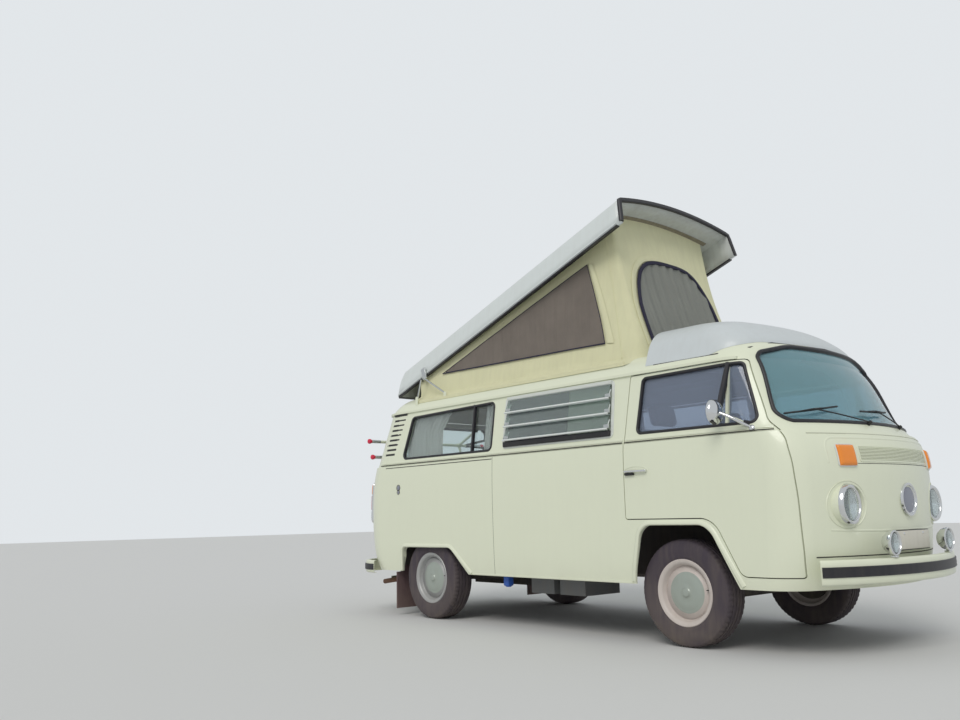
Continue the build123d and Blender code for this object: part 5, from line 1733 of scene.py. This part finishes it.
# %% Carrier knobs, mains inlet and tail pipe
CARRIER_BARS = ((1330, -3420), (1476, -3470))
for k, (z, x) in enumerate(CARRIER_BARS):
    for side, s in SIDES:
        lathe(f"carrier_knob_{side}_{k + 1}",
              [(0, 34), (10, 33), (20, 27), (23, 16), (20, 4), (15, -6), (0, -8)], at(x, s * 660, z),
              (0, s, 0), red_knob, "tailgate", 28)
        grip = [at(x, s * 560, z), at(x, s * 652, z)]
        bar(f"carrier_sleeve_{side}_{k + 1}", grip, 15.5, aluminium, "tailgate")
rounded_block("mains_inlet", at(-1568, -797, 286), at(-1514, -743, 356), 8, blue_plastic)
lathe("mains_inlet_cap", [(0, 6), (18, 5), (22, 0), (22, -12), (0, -12)], at(-1541, -770, 284), (0, 0, -1),
      blue_plastic, steps=28)
bar("tail_pipe", [at(-3080, -560, 268), at(-3180, -600, 258), at(-3330, -606, 236)], 21, exhaust_steel)
print("pieces", len(made_pieces))

# %% [markdown]
# ## Inside
# Through the glass show the seats and the curtains of the rear windows. The curtains hang in pleats that lean
# with the wall, and the rear one is drawn half way.

# %% Curtains
CURTAIN_Z = (1240, 1642)
REAR_EDGE = [(1240, -2262), (1380, -2282), (1472, -2291), (1600, -2205), (1645, -2150)]


def hung_curtain(name, front_edge, rear_x, y, s, pleats):
    """A pleated curtain between its rear end and a front edge given by (height, x) rows."""
    rows, columns = 90, 14
    points = []
    for i in range(rows + 1):
        for j in range(columns + 1):
            z = CURTAIN_Z[0] + (CURTAIN_Z[1] - CURTAIN_Z[0]) * j / columns
            x = rear_x + (stepped(z, front_edge) - rear_x) * i / rows
            fold = 9 * sin(2 * pi * pleats * i / rows) + 3 * sin(2 * pi * pleats * 2.3 * i / rows + z * 0.004)
            points.append(at(x, s * (y - (z - CURTAIN_Z[0]) * WALL_LEAN + fold), z))
    piece = new_piece(name, points, grid_faces(rows + 1, columns + 1), curtain_cloth, slot="curtain_cloth")
    return piece


for side, s in SIDES:
    drawn = hung_curtain(f"rear_curtain_{side}", REAR_EDGE, -2735, 786, s, 9)
    if s < 0:
        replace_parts(drawn, "curtains")
    hung_curtain(f"front_curtain_{side}", [(1240, -1650), (1645, -1650)], -1760, 786, s, 3)

# %% Seats
SEAT_PARTS = [
    ((-330, 140), 235, (790, 915), 48, 0, "cushion"), ((-392, -300), 225, (905, 1335), 40, -12, "back"),
    ((-395, -325), 120, (1350, 1495), 34, -12, "head_rest"),
]
for side, y in (("right", -400), ("left", 400)):
    for span, half, heights, round_mm, lean, part in SEAT_PARTS:
        piece = rounded_block(f"seat_{part}_{side}", at(span[0], y - half, heights[0]),
                              at(span[1], y + half, heights[1]), round_mm, seat_cloth, slot="cloth", steps=6)
        foot = at(sum(span) / 2, y, heights[0])
        tilt = Matrix.Translation(foot) @ Matrix.Rotation(radians(lean), 4, "Y") @ Matrix.Translation(-foot)
        piece.data.transform(tilt)
        if part == "cushion" and y < 0:
            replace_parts(piece, "seats")
print("pieces", len(made_pieces))

# %% [markdown]
# ## Finish
# The number of pieces made is printed.

# %% Count of pieces
print("pieces made", len(made_pieces))
